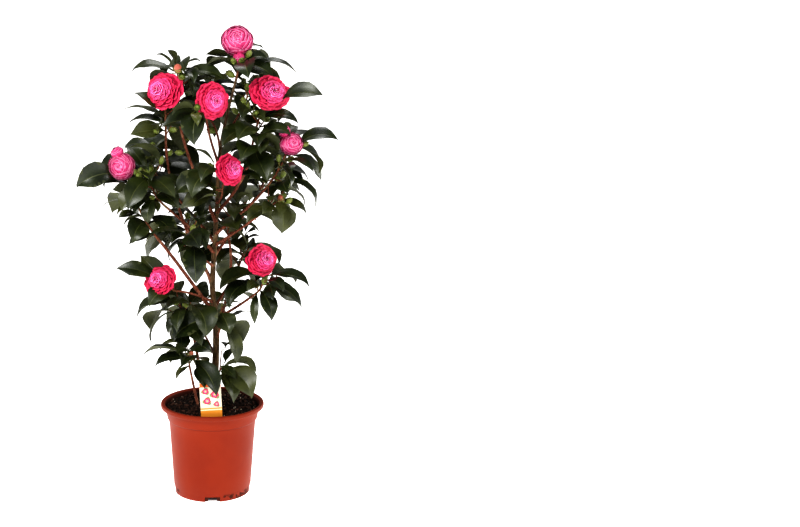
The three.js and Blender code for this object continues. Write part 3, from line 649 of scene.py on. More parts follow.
# Limbs: root as a height on the trunk or a point, point half-way, tip, both radii
LIMBS = {
    "bough_crown_right": [652, (38, 16, 690), (52, 24, 712), 2.1, 1.6],
    "bough_top_front": [618, (-3, -24, 664), (-10, -43, 702), 2.3, 1.8],
    "bough_top_left": [512, (-42, -8, 632), (-60, -15, 716), 3, 1.9],
    "bough_upper_left": [400, (-62, 6, 540), (-82, -18, 664), 3.2, 2],
    "bough_top_right": [528, (50, -12, 588), (69, -21, 646), 3, 2.1],
    "bough_front": [546, (15, -20, 560), (17, -36, 573), 2.1, 1.7],
    "bough_mid_left": [455, (-42, -14, 505), (-82, -22, 543), 3, 2],
    "bough_far_left": [338, (-54, -8, 424), (-97, -22, 485), 3.6, 2.4],
    "bough_low_left": [362, (-32, -30, 384), (-62, -44, 394), 2.4, 1.8],
    "bough_far_right": [490, (62, -8, 540), (103, -18, 588), 2.9, 2],
    "bough_mid_right": [468, (55, -24, 508), (90, -34, 538), 2.5, 1.8],
    "bough_low_right": [330, (46, -17, 359), (79, -32, 387), 2.7, 1.9],
    "bough_inner_right": [308, (31, 16, 395), (30, 22, 474), 3, 2],
    "bough_inner_left": [430, (-13, -24, 446), (-24, -40, 460), 2.2, 1.7],
    "bough_waist_right": [290, (12, -12, 310), (16, -22, 325), 2.2, 1.7],
    "bough_foot_right": [214, (9, -13, 225), (12, -22, 234), 2.1, 1.7],
    "bough_back_top": [596, (12, 34, 650), (-4, 56, 690), 2.4, 1.8],
    "bough_back_left": [474, (-42, 46, 522), (-82, 74, 560), 2.8, 1.9],
    "bough_back_right": [448, (46, 44, 500), (80, 72, 545), 2.8, 1.9],
    "bough_back_mid": [384, (-14, 40, 420), (-32, 70, 450), 2.7, 1.9],
    "bough_back_low": [352, (28, 40, 382), (46, 66, 408), 2.7, 1.9],
    "bough_back_foot": [258, (-8, 26, 280), (-18, 42, 296), 2.3, 1.8],
    "stem_left": [(-19, 10, 158), (-25, 6, 240), (-38, -6, 314), 3.6, 2.2],
    "stem_low": [(-24, -18, 158), (-35, -32, 216), (-41, -40, 250), 2.6, 1.8],
}
print(len(TRUNK), "heights of the trunk and", len(LIMBS), "limbs")

# %% [markdown]
# A spray is the mass of leaves at the tip of a limb. Its row says where its stem ends and
# how many twigs, leaves and buds are wanted, and its seed decides where they stand. The
# leaves that draw the shrub's outline can't be left to chance, so they have rows of their
# own, with the place of the tip.

# %% Growth: the sprays
# Tip of the stem, seed, twigs, leaves to a twig, buds and room. A bloom is its radius,
# direction and whether it is a ball; leading leaves are place along the stem, tip, width,
# droop and roll
SPRAYS = {
    "spray_leader": dict(
        end=(42, 4, 834), seed=48, twigs=4, leaves=5, buds=3, spread=100,
        bloom=(27, (0.1, -0.9, 0.35), True),
        lead=[
            (0.5, 107, -24, 780, 38, 40, 50),
            (0.85, 77, 14, 833, 17, 80, 0),
            (0.35, 151, -15, 786, 20, 65, 20),
        ],
    ),
    "spray_top_left": dict(
        end=(-57, -25, 788), seed=100, twigs=5, leaves=4, buds=3, spread=104,
        lead=[
            (0.82, 22, -40, 775, 30, 74, 18),
            (0.9, -144, -30, 790, 28, 62, -22),
        ],
    ),
    "spray_top_front": dict(
        end=(-1, -62, 740), seed=61, twigs=5, leaves=5, buds=2, spread=100,
        bloom=(29, (0.35, -0.92, 0.12), False),
        lead=[
            (0.1, -88, -80, 697, 38, 30, -45),
        ],
    ),
    "spray_upper_left": dict(
        end=(-83, -38, 753), seed=51, twigs=4, leaves=5, buds=1, spread=106,
        bloom=(32, (-0.42, -0.88, 0.2), False),
        lead=[
            (0.6, -138, -18, 747, 27, 40, -35),
            (0.5, -156, -40, 723, 25, 45, -15),
            (0.36, -149, -14, 697, 23, 40, -20),
            (0.2, -143, -50, 677, 34, 45, -45),
        ],
    ),
    "spray_top_right": dict(
        end=(99, -34, 750), seed=81, twigs=4, leaves=4, buds=4, spread=108,
        bloom=(34, (0.34, -0.9, 0.26), False),
        lead=[
            (0.8, 193, -60, 752, 35, 55, 38),
            (0.6, 154, -50, 703, 27, 70, 30),
            (0.3, 16, -75, 660, 32, 78, -30),
            (0.04, 96, -92, 603, 44, 30, 15),
        ],
    ),
    "spray_crown_right": dict(
        end=(63, 12, 752), seed=63, twigs=4, leaves=5, buds=3, spread=100,
    ),
    "spray_front": dict(
        end=(30, -79, 621), seed=42, twigs=4, leaves=5, buds=1, spread=100,
        bloom=(26, (0.4, -0.9, 0.1), False),
        lead=[
            (0.05, -56, -86, 553, 31, 45, -40),
        ],
    ),
    "spray_far_right": dict(
        end=(137, -15, 658), seed=90, twigs=4, leaves=4, buds=3, spread=108,
        bloom=(21, (0.2, -0.95, 0.15), True),
        lead=[
            (0.85, 224, -35, 669, 36, 88, 28),
            (0.6, 179, -60, 614, 17, 60, 10),
            (0.12, 190, -45, 549, 23, 80, 18),
        ],
    ),
    "spray_mid_right": dict(
        end=(122, -44, 562), seed=89, twigs=4, leaves=5, buds=2, spread=104,
        lead=[
            (0.95, 171, -50, 536, 25, 60, 25),
            (0.9, 123, -64, 503, 42, 34, 0),
            (0.3, 59, -72, 526, 25, 50, -30),
        ],
    ),
    "spray_mid_left": dict(
        end=(-112, -46, 604), seed=37, twigs=5, leaves=5, buds=3, spread=112,
        lead=[
            (0.95, -146, -92, 551, 36, 45, -38),
            (0.85, -156, 4, 654, 25, 60, -20),
        ],
    ),
    "spray_far_left": dict(
        end=(-155, -24, 617), seed=39, twigs=3, leaves=4, buds=2, spread=106,
        bloom=(23, (-0.3, -0.94, 0.1), True),
        lead=[
            (0.9, -238, -50, 583, 41, 62, -55),
            (0.3, -138, -74, 489, 38, 50, -40),
            (0.06, -148, -46, 481, 25, 35, -30),
        ],
    ),
    "spray_low_left": dict(
        end=(-91, -50, 415), seed=28, twigs=4, leaves=4, buds=1, spread=104,
        bloom=(27, (-0.4, -0.85, 0.34), False),
        lead=[
            (0.8, -171, -48, 437, 30, 42, -40),
            (0.6, -130, -16, 454, 34, 25, -50),
            (0.2, -112, -80, 376, 34, 60, -30),
        ],
    ),
    "spray_low_right": dict(
        end=(88, -44, 449), seed=27, twigs=3, leaves=4, buds=2, spread=106,
        bloom=(29, (0.32, -0.88, 0.34), False),
        lead=[
            (0.62, 177, -70, 410, 26, 55, 28),
            (0.42, 162, -82, 371, 26, 62, 25),
            (0.15, 106, -76, 346, 28, 50, 20),
            (0.03, 76, -60, 334, 15, 60, 0),
        ],
    ),
    "spray_inner_right": dict(
        end=(38, 20, 540), seed=12, twigs=5, leaves=5, buds=1, spread=108,
    ),
    "spray_inner_left": dict(
        end=(-36, -62, 508), seed=9, twigs=6, leaves=5, buds=1, spread=108,
    ),
    "spray_waist_right": dict(
        end=(14, -32, 352), seed=128, twigs=3, leaves=3, buds=0, spread=100,
        lead=[
            (0.4, 44, -62, 259, 26, 45, 10),
            (1, 31, -68, 321, 36, 30, 20),
        ],
    ),
    "spray_waist_left": dict(
        limb="stem_left", end=(-64, -34, 370), seed=127, twigs=4, leaves=4, buds=1, spread=100,
    ),
    "spray_foot_left": dict(
        limb="stem_low", end=(-42, -44, 274), seed=93, twigs=2, leaves=3, buds=1, spread=100,
        lead=[
            (0.85, -108, -54, 257, 26, 60, -25),
            (0.15, -66, -66, 236, 13, 50, 0),
            (0.95, 8, -92, 211, 36, 66, 20),
        ],
    ),
    "spray_foot_right": dict(
        end=(17, -32, 247), seed=100, twigs=1, leaves=2, buds=0, spread=100,
        lead=[
            (0.95, 72, -84, 205, 46, 42, 24),
        ],
    ),
    "spray_back_top": dict(
        end=(-14, 74, 738), seed=6, twigs=5, leaves=4, buds=2, spread=112,
    ),
    "spray_back_left": dict(
        end=(-116, 92, 612), seed=83, twigs=5, leaves=5, buds=2, spread=122,
    ),
    "spray_back_right": dict(
        end=(106, 92, 602), seed=30, twigs=5, leaves=5, buds=2, spread=122,
    ),
    "spray_back_mid": dict(
        end=(-46, 98, 500), seed=16, twigs=5, leaves=4, buds=1, spread=114,
    ),
    "spray_back_low": dict(
        end=(60, 88, 452), seed=19, twigs=5, leaves=4, buds=1, spread=112,
    ),
    "spray_back_foot": dict(
        end=(-30, 58, 336), seed=49, twigs=3, leaves=4, buds=0, spread=100,
    ),
}

print(len(SPRAYS), "sprays")

# %% [markdown]
# The trunk and some boughs show between the leaves, and the eye follows them from the
# compost to the crown, so a table lists that wood. The sizes after it are the shrub's
# habit: leaves about half as wide as long, each turned 137.5 degrees from the last, and
# rounded buds.

# %% Growth: wood that shows, and sizes
# Heights on the trunk, and shares of a bough's length, seen from the front
SHOWN = {
    "trunk": (232, 770),
    "bough_top_right": (0.05, 0.5),
    "bough_top_left": (0.4, 0.8),
    "bough_upper_left": (0.75, 1),
    "bough_far_left": (0.25, 1),
    "bough_mid_left": (0.5, 1),
    "bough_low_right": (0.4, 1),
    "bough_far_right": (0.6, 1),
}

GAP = 0.3  # between a limb's tip and the stem of its spray
LIP_RADIUS = 95
BESIDE_POT, ABOVE_POT = 120, 190  # lowest points of leaves outside the lip and over it
LEAF_LENGTH = (68, 92)
LEAF_SHAPE = 0.49  # width for a length
LEAF_REACH = 86  # a leading leaf whose tip is farther off stands on a twig
STALK_SHARE = 0.08
STALK_WIDTH = 2.6
TWIG_RADIUS = 1.3
TURN = 137.5  # degrees from one leaf or twig to the next
BUD_LENGTH = 15
BUD_RADIUS = 4.8
TRIES = 14  # for a leaf, twig or bud before it is left out
AIR = 4.2  # kept free round a leaf
SHOWN_MARGIN = 6
SIGHT_FALL = 0.2  # how far the line of sight falls for each millimetre back
DEG = math.pi / 180
UP = np.array((0.0, 0.0, 1.0))


def size(v):
    return math.sqrt(v @ v)


def unit(v):
    return v / size(v)


def square(along):
    """Two directions square to a line."""
    start = np.array((0.0, 1.0, 0.0)) if abs(along[2]) > 0.9 else UP
    u = unit(np.cross(start, along))
    return u, np.cross(along, u)


def stream(seed):
    """Evenly spread numbers from a seed."""
    whole = 0xFFFFFFFF
    state = seed & whole

    def draw():
        nonlocal state
        state = (state + 0x6D2B79F5) & whole
        t = ((state ^ (state >> 15)) * (state | 1)) & whole
        t = t ^ ((t + (((t ^ (t >> 7)) * (t | 61)) & whole)) & whole)
        return (t ^ (t >> 14)) / 4294967296

    return draw


print("wood that shows:", len(SHOWN), "rows; first number from seed 1:", round(stream(1)(), 3))

# %% [markdown]
# A limb or twig is one bend between its two ends, thinning on the way. A leaf's spine is
# part of a circle in an upright plane, so it rises and then droops, and the blade may roll
# about it.

# %% Growth: trunk, limbs and leaf spines
def trunk_at(z):
    i = 0
    while i < len(TRUNK) - 2 and z > TRUNK[i + 1][0]:
        i += 1
    span = TRUNK[i + 1][0] - TRUNK[i][0]
    t = (z - TRUNK[i][0]) / span

    def slope(row, k):
        a = TRUNK[max(row - 1, 0)]
        b = TRUNK[min(row + 1, len(TRUNK) - 1)]
        return (b[k] - a[k]) / (b[0] - a[0])

    def value(k):
        a, b = TRUNK[i][k], TRUNK[i + 1][k]
        bend = (b - a) * t * t * (3 - 2 * t)
        return a + bend + span * t * (1 - t) * ((1 - t) * slope(i, k) - t * slope(i + 1, k))

    return np.array((value(1), value(2), z)), value(3)


class Arc:
    """A bend from one point to another; at() keeps to its straight steps, bend() is smooth."""

    def __init__(self, start, control, end, thick, thin, steps):
        self.start, self.control, self.end = start, control, end
        self.thick, self.thin, self.steps = thick, thin, steps
        self.length = size(end - start)

    def bend(self, t):
        a = self.start * ((1 - t) * (1 - t)) + self.control * (2 * t * (1 - t))
        return a + self.end * (t * t)

    def at(self, t):
        k = min(math.floor(t * self.steps), self.steps - 1)
        f = t * self.steps - k
        return self.bend(k / self.steps) * (1 - f) + self.bend((k + 1) / self.steps) * f

    def along(self, t):
        return unit((self.control - self.start) * (1 - t) + (self.end - self.control) * t)

    def radius(self, t):
        return self.thick + (self.thin - self.thick) * t


def limb_arc(root, via, tip, thick, thin):
    start = np.array(root, float) if isinstance(root, tuple) else trunk_at(root)[0]
    tip = np.array(tip, float)
    control = np.array(via, float) * 2 - (start + tip) * 0.5
    return Arc(start, control, tip, thick, thin, 3)


def spine(leaf, s):
    """Points, sideways and upward directions along a leaf, for an array of shares s."""
    angle = leaf["pitch"] - leaf["droop"] * s
    turn = leaf["length"] / leaf["droop"]
    out = turn * (math.sin(leaf["pitch"]) - np.sin(angle))
    rise = turn * (np.cos(angle) - math.cos(leaf["pitch"]))
    h = np.array((math.cos(leaf["heading"]), math.sin(leaf["heading"]), 0.0))
    across = np.array((-h[1], h[0], 0.0))
    over = -np.sin(angle)[:, None] * h + np.cos(angle)[:, None] * UP
    roll = leaf["roll"]
    side = across * math.cos(roll) + over * math.sin(roll)
    face = over * math.cos(roll) - across * math.sin(roll)
    return leaf["base"] + out[:, None] * h + rise[:, None] * UP, side, face


def half_width(leaf, s):
    t = np.maximum(0, (s - STALK_SHARE) / (1 - STALK_SHARE))
    blade = np.maximum(np.sin(np.pi * t**0.85), 0) ** 0.9
    return np.maximum(leaf["width"] * 0.5 * blade, np.where(s < 0.5, STALK_WIDTH / 2, 0))


def leaf_to(base, tip, width, droop, roll):
    d = tip - base
    chord = size(d)
    return dict(
        base=base, heading=math.atan2(d[1], d[0]), pitch=math.asin(d[2] / chord) + droop / 2,
        droop=droop, roll=roll, length=chord * droop * 0.5 / math.sin(droop * 0.5), width=width,
    )


print("trunk at 400 mm:", trunk_at(400)[0].round(1))

# %% [markdown]
# Nothing may grow through anything else. Every stem, bloom and leaf that has been placed
# is remembered as a row of balls, and a new one is kept only if its own points stay clear
# of them all, inside its spray's room and above the pot. Trunk and boughs show between the
# leaves, so a seeded leaf also keeps out of the line of sight of the wood listed above.

# %% Growth: what is taken
BALLS = np.zeros((40000, 4))
ball_count = 0


def take(points, radius):
    global ball_count
    points = np.asarray(points)
    BALLS[ball_count : ball_count + len(points), :3] = points
    BALLS[ball_count : ball_count + len(points), 3] = radius
    ball_count += len(points)


def is_free(points, margin):
    points = np.asarray(points)
    balls = BALLS[:ball_count]
    low, high = points.min(0), points.max(0)
    room = balls[:, 3:] + margin
    near = ((balls[:, :3] > low - room) & (balls[:, :3] < high + room)).all(1)
    balls = balls[near]
    far = np.linalg.norm(points[:, None] - balls[None, :, :3], axis=2)
    return bool((far > balls[:, 3] + margin).all())


shown = []


def hides(points):
    """Whether points stand in the line of sight of wood that is to show."""
    wood = np.array(shown)
    near = wood[:, 1] - points[:, None, 1]
    aside = np.abs(wood[:, 0] - points[:, None, 0])
    above = np.abs(wood[:, 2] + near * SIGHT_FALL - points[:, None, 2])
    return bool(((near > 0) & (np.maximum(aside, above) < SHOWN_MARGIN)).any())


def clear_of_pot(points):
    far = np.hypot(points[:, 0], points[:, 1]) > LIP_RADIUS + 6
    return (points[:, 2] > ABOVE_POT) | ((points[:, 2] > BESIDE_POT) & far)


def limb_points(path, start=0.0):
    n = math.ceil(path.length / 5)
    return [path.at(start + ((1 - start) * i) / n) for i in range(n + 1)]


LEAF_SHARES = np.array((0.2, 0.31, 0.42, 0.53, 0.64, 0.75, 0.86, 0.95))
print("room for", len(BALLS), "balls")


def leaf_points(leaf):
    point, side, _ = spine(leaf, LEAF_SHARES)
    w = half_width(leaf, LEAF_SHARES)
    rows = [point + side * (w * k)[:, None] for k in (-0.92, -0.46, 0, 0.46, 0.92)]
    tip = spine(leaf, np.array((1.0,)))[0]
    return np.concatenate((*rows, tip))


# %% [markdown]
# A spray starts with the parts whose places are given: its stem runs on from its limb, its
# bloom stands at the end, and its leading leaves reach to their tips. A tip that is too
# far for one leaf gets a short twig first. All sprays start before any grows further, so
# that these parts always find room.

# %% Growth: a spray's stem, bloom and leading leaves
def start_spray(name, plan, limb):
    at, along, thick = limb
    start = at + along * GAP
    end = np.array(plan["end"], float)
    control = start + along * (size(end - start) * 0.45)
    stem = Arc(start, control, end, thick, TWIG_RADIUS, 4)
    spray = dict(name=name, plan=plan, stem=stem, twigs=[], leaves=[], buds=[], bloom=None)
    take(limb_points(stem), TWIG_RADIUS)
    if "bloom" in plan:
        radius, face, ball = plan["bloom"]
        face = unit(np.array(face, float))
        middle = end + face * (radius * (0.5 if ball else 0.25))
        spray["bloom"] = dict(middle=middle, face=face, radius=radius, ball=ball)
        take([middle + face * (0 if ball else -radius * 0.15)], radius * 0.9)
    for f, x, y, z, width, droop, roll in plan.get("lead", ()):
        tip = np.array((x, y, z), float)
        root = stem.at(f)
        far = size(tip - root)
        base = root
        if far > LEAF_REACH:
            base = root + (tip - root) * (1 - (LEAF_REACH - 8) / far) + UP * 5
            past = base + unit(base - (root + base) * 0.5) * 2
            middle = (root + base) * 0.5
            spray["twigs"].append(Arc(root, middle, past, TWIG_RADIUS, TWIG_RADIUS, 1))
            take(limb_points(spray["twigs"][-1]), TWIG_RADIUS)
        leaf = leaf_to(base, tip, width, droop * DEG, roll * DEG)
        spray["leaves"].append(leaf)
        take(leaf_points(leaf), AIR)
    return spray


print("leading leaves:", sum(len(plan.get("lead", ())) for plan in SPRAYS.values()))

# %% [markdown]
# The rest is dealt out by the seed: twigs along the stem, leaves along stem and twigs, and
# buds at the tips. Each is tried again with new numbers until it fits, and left out if it
# never does. A plant fills its room in the same way, and no two sprays come out alike.

# %% Growth: the seeded rest of a spray
def grow_spray(spray):
    plan, stem = spray["plan"], spray["stem"]
    random = stream(plan["seed"])
    centre = (stem.at(0) + stem.at(1)) * 0.5

    def between(a, b):
        return a + (b - a) * random()

    def in_room(points):
        points = np.atleast_2d(points)
        near = np.linalg.norm(points - centre, axis=1) < plan["spread"]
        return bool((near & clear_of_pot(points)).all())

    def around(path, f, turn):
        u, v = square(path.along(f))
        return u * math.cos(turn * DEG) + v * math.sin(turn * DEG)

    spray["tools"] = (in_room, around)
    phase = between(0, 360)
    for i in range(plan["twigs"]):
        for _ in range(TRIES):
            f = 0.08 + (0.82 * (i + random())) / plan["twigs"]
            out = around(stem, f, phase + i * TURN + between(-35, 35))
            way = unit(out + stem.along(f) * 0.7 + UP * 0.25)
            start = stem.at(f)
            long = between(20, 40)
            end = start + way * long
            middle = start + way * (long * 0.5)
            twig = Arc(start, middle, end, TWIG_RADIUS, TWIG_RADIUS * 0.8, 1)
            points = limb_points(twig, 0.45)
            if in_room(end) and is_free(points, 4):
                spray["twigs"].append(twig)
                take(points, TWIG_RADIUS)
                break

    for path in (stem, *spray["twigs"]):
        most = 5 if path is stem else plan["leaves"]
        turn = between(0, 360)
        for i in range(most):
            for n in range(TRIES):
                f = 0.97 - (0.92 if path is stem else 0.58) * (i / most)
                out = around(path, f, turn + i * TURN + between(-40, 40))
                way = unit(out + path.along(f) * 0.55)
                length = between(*LEAF_LENGTH) * (0.72 if n > 5 else 1)
                pitch = math.asin(way[2]) * 0.5 + between(-2, 38) * DEG
                leaf = dict(
                    base=path.at(f), heading=math.atan2(way[1], way[0]), pitch=pitch,
                    droop=between(42, 102) * DEG, roll=between(-40, 40) * DEG, length=length,
                )
                leaf["width"] = length * LEAF_SHAPE * between(0.85, 1.12)
                points = leaf_points(leaf)
                if in_room(points) and not hides(points) and is_free(points, AIR):
                    spray["leaves"].append(leaf)
                    take(points, AIR)
                    break

    tips = spray["twigs"][::-1]
    if not spray["bloom"]:
        tips.insert(0, stem)
    for i in range(plan["buds"]):
        path = tips[i % len(tips)] if tips else stem
        for _ in range(TRIES):
            out = around(path, 1, between(0, 360))
            way = unit(path.along(1) + out * (0.3 if i < len(tips) else 0.9) + UP * 0.3)
            long = BUD_LENGTH * between(0.75, 1.05)
            start = path.at(0.93)
            if is_free([start + way * (long * 0.75)], BUD_RADIUS):
                radius = BUD_RADIUS * long / BUD_LENGTH
                spray["buds"].append(dict(start=start, way=way, length=long, radius=radius))
                take([start + way * (long * 0.7)], BUD_RADIUS)
                break


print("twigs to grow:", sum(plan["twigs"] for plan in SPRAYS.values()))

# %% [markdown]
# Now the rule runs in the order of the solids, because each part that has been placed
# changes what the next one may do: trunk, limbs and label take their room, then every
# spray starts, and then every spray grows.

# %% Growth: grow the shrub
limbs = {name: limb_arc(*row) for name, row in LIMBS.items()}
for height in range(180, TRUNK[-1][0], 6):
    take([trunk_at(height)[0]], trunk_at(height)[1])
for path in limbs.values():
    take(limb_points(path), path.radius(0.2))
for name, (low, high) in SHOWN.items():
    n = math.ceil((high - low if name == "trunk" else limbs[name].length) / 6)
    for i in range(n + 1):
        t = low + ((high - low) * i) / n
        shown.append(trunk_at(t)[0] if name == "trunk" else limbs[name].at(t))
for height in range(162, 234, 8):
    for x in (-14, -5, 5, 14):
        aside = (height - LABEL_FOOT) * math.tan(LABEL_LEAN * DEG)
        take([(x - aside, LABEL_MIDDLE_Y, height)], 4)
trunk_top, top_radius = trunk_at(TRUNK[-1][0])
rise = unit(trunk_top - trunk_at(TRUNK[-1][0] - 12)[0])
sprays = []
for name, plan in SPRAYS.items():
    limb = limbs.get(name.replace("spray", "bough")) or limbs.get(plan.get("limb"))
    if limb:
        root = (limb.at(1), limb.along(1), limb.thin)
    else:
        root = (trunk_top + rise * 0.6, rise, top_radius)
    sprays.append(start_spray(name, plan, root))
for spray in sprays:
    grow_spray(spray)
for kind in ("leaves", "twigs", "buds"):
    print("grown:", sum(len(s[kind]) for s in sprays), kind)

# %% [markdown]
# The solids stop at a leaf's length, but the living spray carries on to finer twigs. After
# the rule has run, each spray gets a second, lighter round from a seed of its own: short
# side shoots with small young leaves, kept inside the same room and inside the box of the
# solids, only where nothing has grown, and not in front of a bloom or of wood that shows.

# %% Growth: what young leaves keep clear of
BLOOM_CLEAR = 1.25  # of a bloom's radius


def covers_bloom(points):
    """Whether points stand in front of a bloom."""
    for spray in sprays:
        if spray["bloom"]:
            middle, radius = spray["bloom"]["middle"], spray["bloom"]["radius"]
            near = middle[1] - points[:, 1]
            above = middle[2] + near * SIGHT_FALL - points[:, 2]
            far = np.hypot(middle[0] - points[:, 0], above)
            if ((near > -10) & (far < radius * BLOOM_CLEAR)).any():
                return True
    return False


def inside_box(points):
    return bool(((points > BOX_LOW - 4) & (points < BOX_HIGH + 4)).all())


print("blooms to keep clear of:", sum(1 for s in sprays if s["bloom"]))

# %% [markdown]
# A shoot leaves its stem or twig at any place, points forward and bends a little, and ends
# in one young leaf. Both are kept or dropped together, so that no shoot ends bare.

# %% Growth: finer shoots
FINE_SEED = 11
FINE_AIR = 2.6
STEM_SHOOTS, TWIG_SHOOTS = 4, 3
YOUNG_LENGTH = (34, 62)


def fine_leaf(base, way, length, between):
    pitch = math.asin(way[2]) * 0.6 + between(0, 30) * DEG
    leaf = dict(
        base=base, heading=math.atan2(way[1], way[0]), pitch=pitch,
        droop=between(35, 85) * DEG, roll=between(-35, 35) * DEG, length=length,
    )
    leaf["width"] = length * between(0.38, 0.46)
    return leaf


def refine_spray(spray, seed):
    random = stream(seed)
    in_room, around = spray["tools"]

    def between(a, b):
        return a + (b - a) * random()

    spray["shoots"] = []
    spray["young"] = []
    for path in (spray["stem"], *spray["twigs"]):
        for _ in range(STEM_SHOOTS if path is spray["stem"] else TWIG_SHOOTS):
            for _ in range(TRIES):
                f = between(0.2, 0.97)
                out = around(path, f, between(0, 360))
                way = unit(out + path.along(f) * 0.9 + UP * 0.2)
                start = path.at(f)
                end = start + way * between(9, 18)
                shoot = Arc(start, (start + end) * 0.5 + UP * 0.8, end, 0.95, 0.7, 3)
                if not (in_room(end) and is_free(limb_points(shoot, 0.5)[1:], 1.5)):
                    continue
                side = unit(np.cross(way, UP) * (1 if random() < 0.5 else -1) + way * 0.8)
                leaf = fine_leaf(shoot.at(0.97), side, between(*YOUNG_LENGTH), between)
                points = leaf_points(leaf)
                fits = in_room(points) and inside_box(points)
                fits = fits and not (hides(points) or covers_bloom(points))
                if fits and is_free(points, FINE_AIR):
                    spray["shoots"].append(shoot)
                    spray["young"].append(leaf)
                    take(points, FINE_AIR)
                    take(limb_points(shoot, 0.5), 0.9)
                    break


for number, spray in enumerate(sprays):
    refine_spray(spray, FINE_SEED + 97 * number)
young_total = sum(len(s["young"]) for s in sprays)
print("finer shoots:", young_total, "young leaves")

# %% [markdown]
# ## Trunk and bark
# The trunk is a slender stem that thins and bends a little on its way up. Like the pot it
# is pulled up ring by ring from a disc, here following the table, because a cylinder
# would have to be bent and thinned afterwards.

# %% Trunk: pulled up along its line
TRUNK_SIDES = 28
TRUNK_STEP = 5
deselect()
(x, y, z), radius = trunk_at(TRUNK[0][0])
bpy.ops.mesh.primitive_circle_add(
    vertices=TRUNK_SIDES, radius=radius * MM, fill_type="NGON",
    location=(x * MM, y * MM, z * MM),
)
trunk = bpy.context.object
bpy.ops.object.mode_set(mode="EDIT")
last, last_radius = np.array((x, y, z)), radius
heights = list(range(TRUNK[0][0] + TRUNK_STEP, TRUNK[-1][0], TRUNK_STEP)) + [TRUNK[-1][0]]
for height in heights:
    point, radius = trunk_at(height)
    step = (point - last) * MM
    bpy.ops.mesh.extrude_region_move(TRANSFORM_OT_translate={"value": tuple(step)})
    grow = radius / last_radius
    bpy.ops.transform.resize(value=(grow, grow, 1), center_override=tuple(point * MM))
    last, last_radius = point, radius
bpy.ops.mesh.select_all(action="SELECT")
bpy.ops.mesh.normals_make_consistent(inside=False)
bpy.ops.object.mode_set(mode="OBJECT")
bpy.ops.object.transform_apply(location=True, rotation=True, scale=True)
print("trunk:", len(trunk.data.vertices), "points")

# %% [markdown]
# A camellia's bark is thin, smooth between shallow upright creases, and swollen a little
# where a bough leaves. A bump in the finish wouldn't show at the edge, so the points
# themselves are pushed in and out, as one would with a sculpting brush.

# %% Trunk: creases, flare and swellings
def crease(point, turn, height, deep):
    """How far bark stands out at a point: long upright ridges and small lumps."""
    ridge = noise.noise(Vector((math.cos(turn) * 2.1, math.sin(turn) * 2.1, height * 0.028)))
    lumps = noise.noise(Vector(point) * 0.16)
    fine = noise.noise(Vector((point[0] * 0.7, point[1] * 0.7, height * 0.12)))
    return deep * (ridge * 0.9 + lumps * 0.5 + fine * 0.25)


LIMB_ROOTS = []
for name, row in LIMBS.items():
    if not isinstance(row[0], tuple):
        LIMB_ROOTS.append((trunk_at(row[0])[0], limbs[name]))
for vertex in trunk.data.vertices:
    point = np.array(vertex.co) / MM
    middle, radius = trunk_at(min(max(point[2], TRUNK[0][0]), TRUNK[-1][0]))
    out = point - middle
    out[2] = 0
    if size(out) < 0.5:
        continue
    turn = math.atan2(out[1], out[0])
    flare = 0.9 * math.cos(4 * turn + 0.6) * max(0, (186 - point[2]) / 30)
    swell = 0
    for root, limb in LIMB_ROOTS:
        near = abs(point[2] - root[2])
        if near < 12:
            toward = max(0, unit(out) @ unit(limb.along(0) * (1, 1, 0)))
            swell += 0.9 * toward**3 * (1 - near / 12)
    push = crease(point, turn, point[2], 0.11 * radius) + flare + swell
    vertex.co = Vector((point + unit(out) * push) * MM)
smooth(trunk, 50)
print("trunk swollen for", len(LIMB_ROOTS), "boughs")

# %% [markdown]
# Trunk and boughs share one bark. Noise drawn out upwards gives the creases their darker
# bottoms, small pale dots are its breathing pores, and the young wood is redder.

# %% Bark finishes
def bark(name, deep, mid, pale, stretch):
    made = Finish(name, mid, 0.8, Specular_IOR_Level=0.25)
    long = made.noise(1.0, 5.0, made.stretched(stretch))
    cloud = made.noise(55.0, 3.0)
    pore = made.node("ShaderNodeTexVoronoi", {}, {"Vector": made.place(), "Scale": 320.0})
    color = made.mix(long.above(0.35, 0.62), deep, mid)
    color = made.mix(cloud.above(0.52, 0.72) * 0.7, color, pale)
    color = made.mix((1 - pore.above(0.1, 0.2)) * 0.45, color, pale)
    made.set("Base Color", color)
    made.set("Roughness", long * 0.2 + 0.66)
    made.relief(long * 0.8 + pore * 0.2, 0.0008, 0.7)
    return made


# Deep, middle and pale tone, and how fine the creases are across and along
BARKS = {
    "bark_old": ((64, 48, 32), (112, 88, 60), (152, 132, 102), (520, 520, 60)),
    "bark_young": ((88, 48, 36), (144, 86, 64), (178, 130, 102), (700, 700, 150)),
    "bark_twig": ((92, 52, 38), (138, 86, 60), (152, 126, 82), (800, 800, 300)),
    "bark_shoot": ((74, 78, 34), (104, 104, 50), (130, 120, 70), (800, 800, 300)),
}
old_bark, young_bark, twig_bark, green_bark = (
    bark(name, *(tone(*color) for color in colors), fine)
    for name, (*colors, fine) in BARKS.items()
)
dress(trunk, "trunk_bark", "trunk", [old_bark], "trunk")

# %% [markdown]
# ## Boughs and twigs
# Boughs and twigs are many and alike. A curve with a round profile could draw them, but
# couldn't crease their bark, so each is a row of rings set along its bend and closed at
# both ends.

# %% Boughs and twigs: rings along a line
def frames(points):
    """A direction and two square to it at each point, turned as little as possible."""
    ways = np.gradient(points, axis=0)
    ways /= np.linalg.norm(ways, axis=1)[:, None]
    u, _ = square(ways[0])
    rows = []
    for way in ways:
        u = unit(u - way * (u @ way))
        rows.append((way, u, np.cross(way, u)))
    return rows


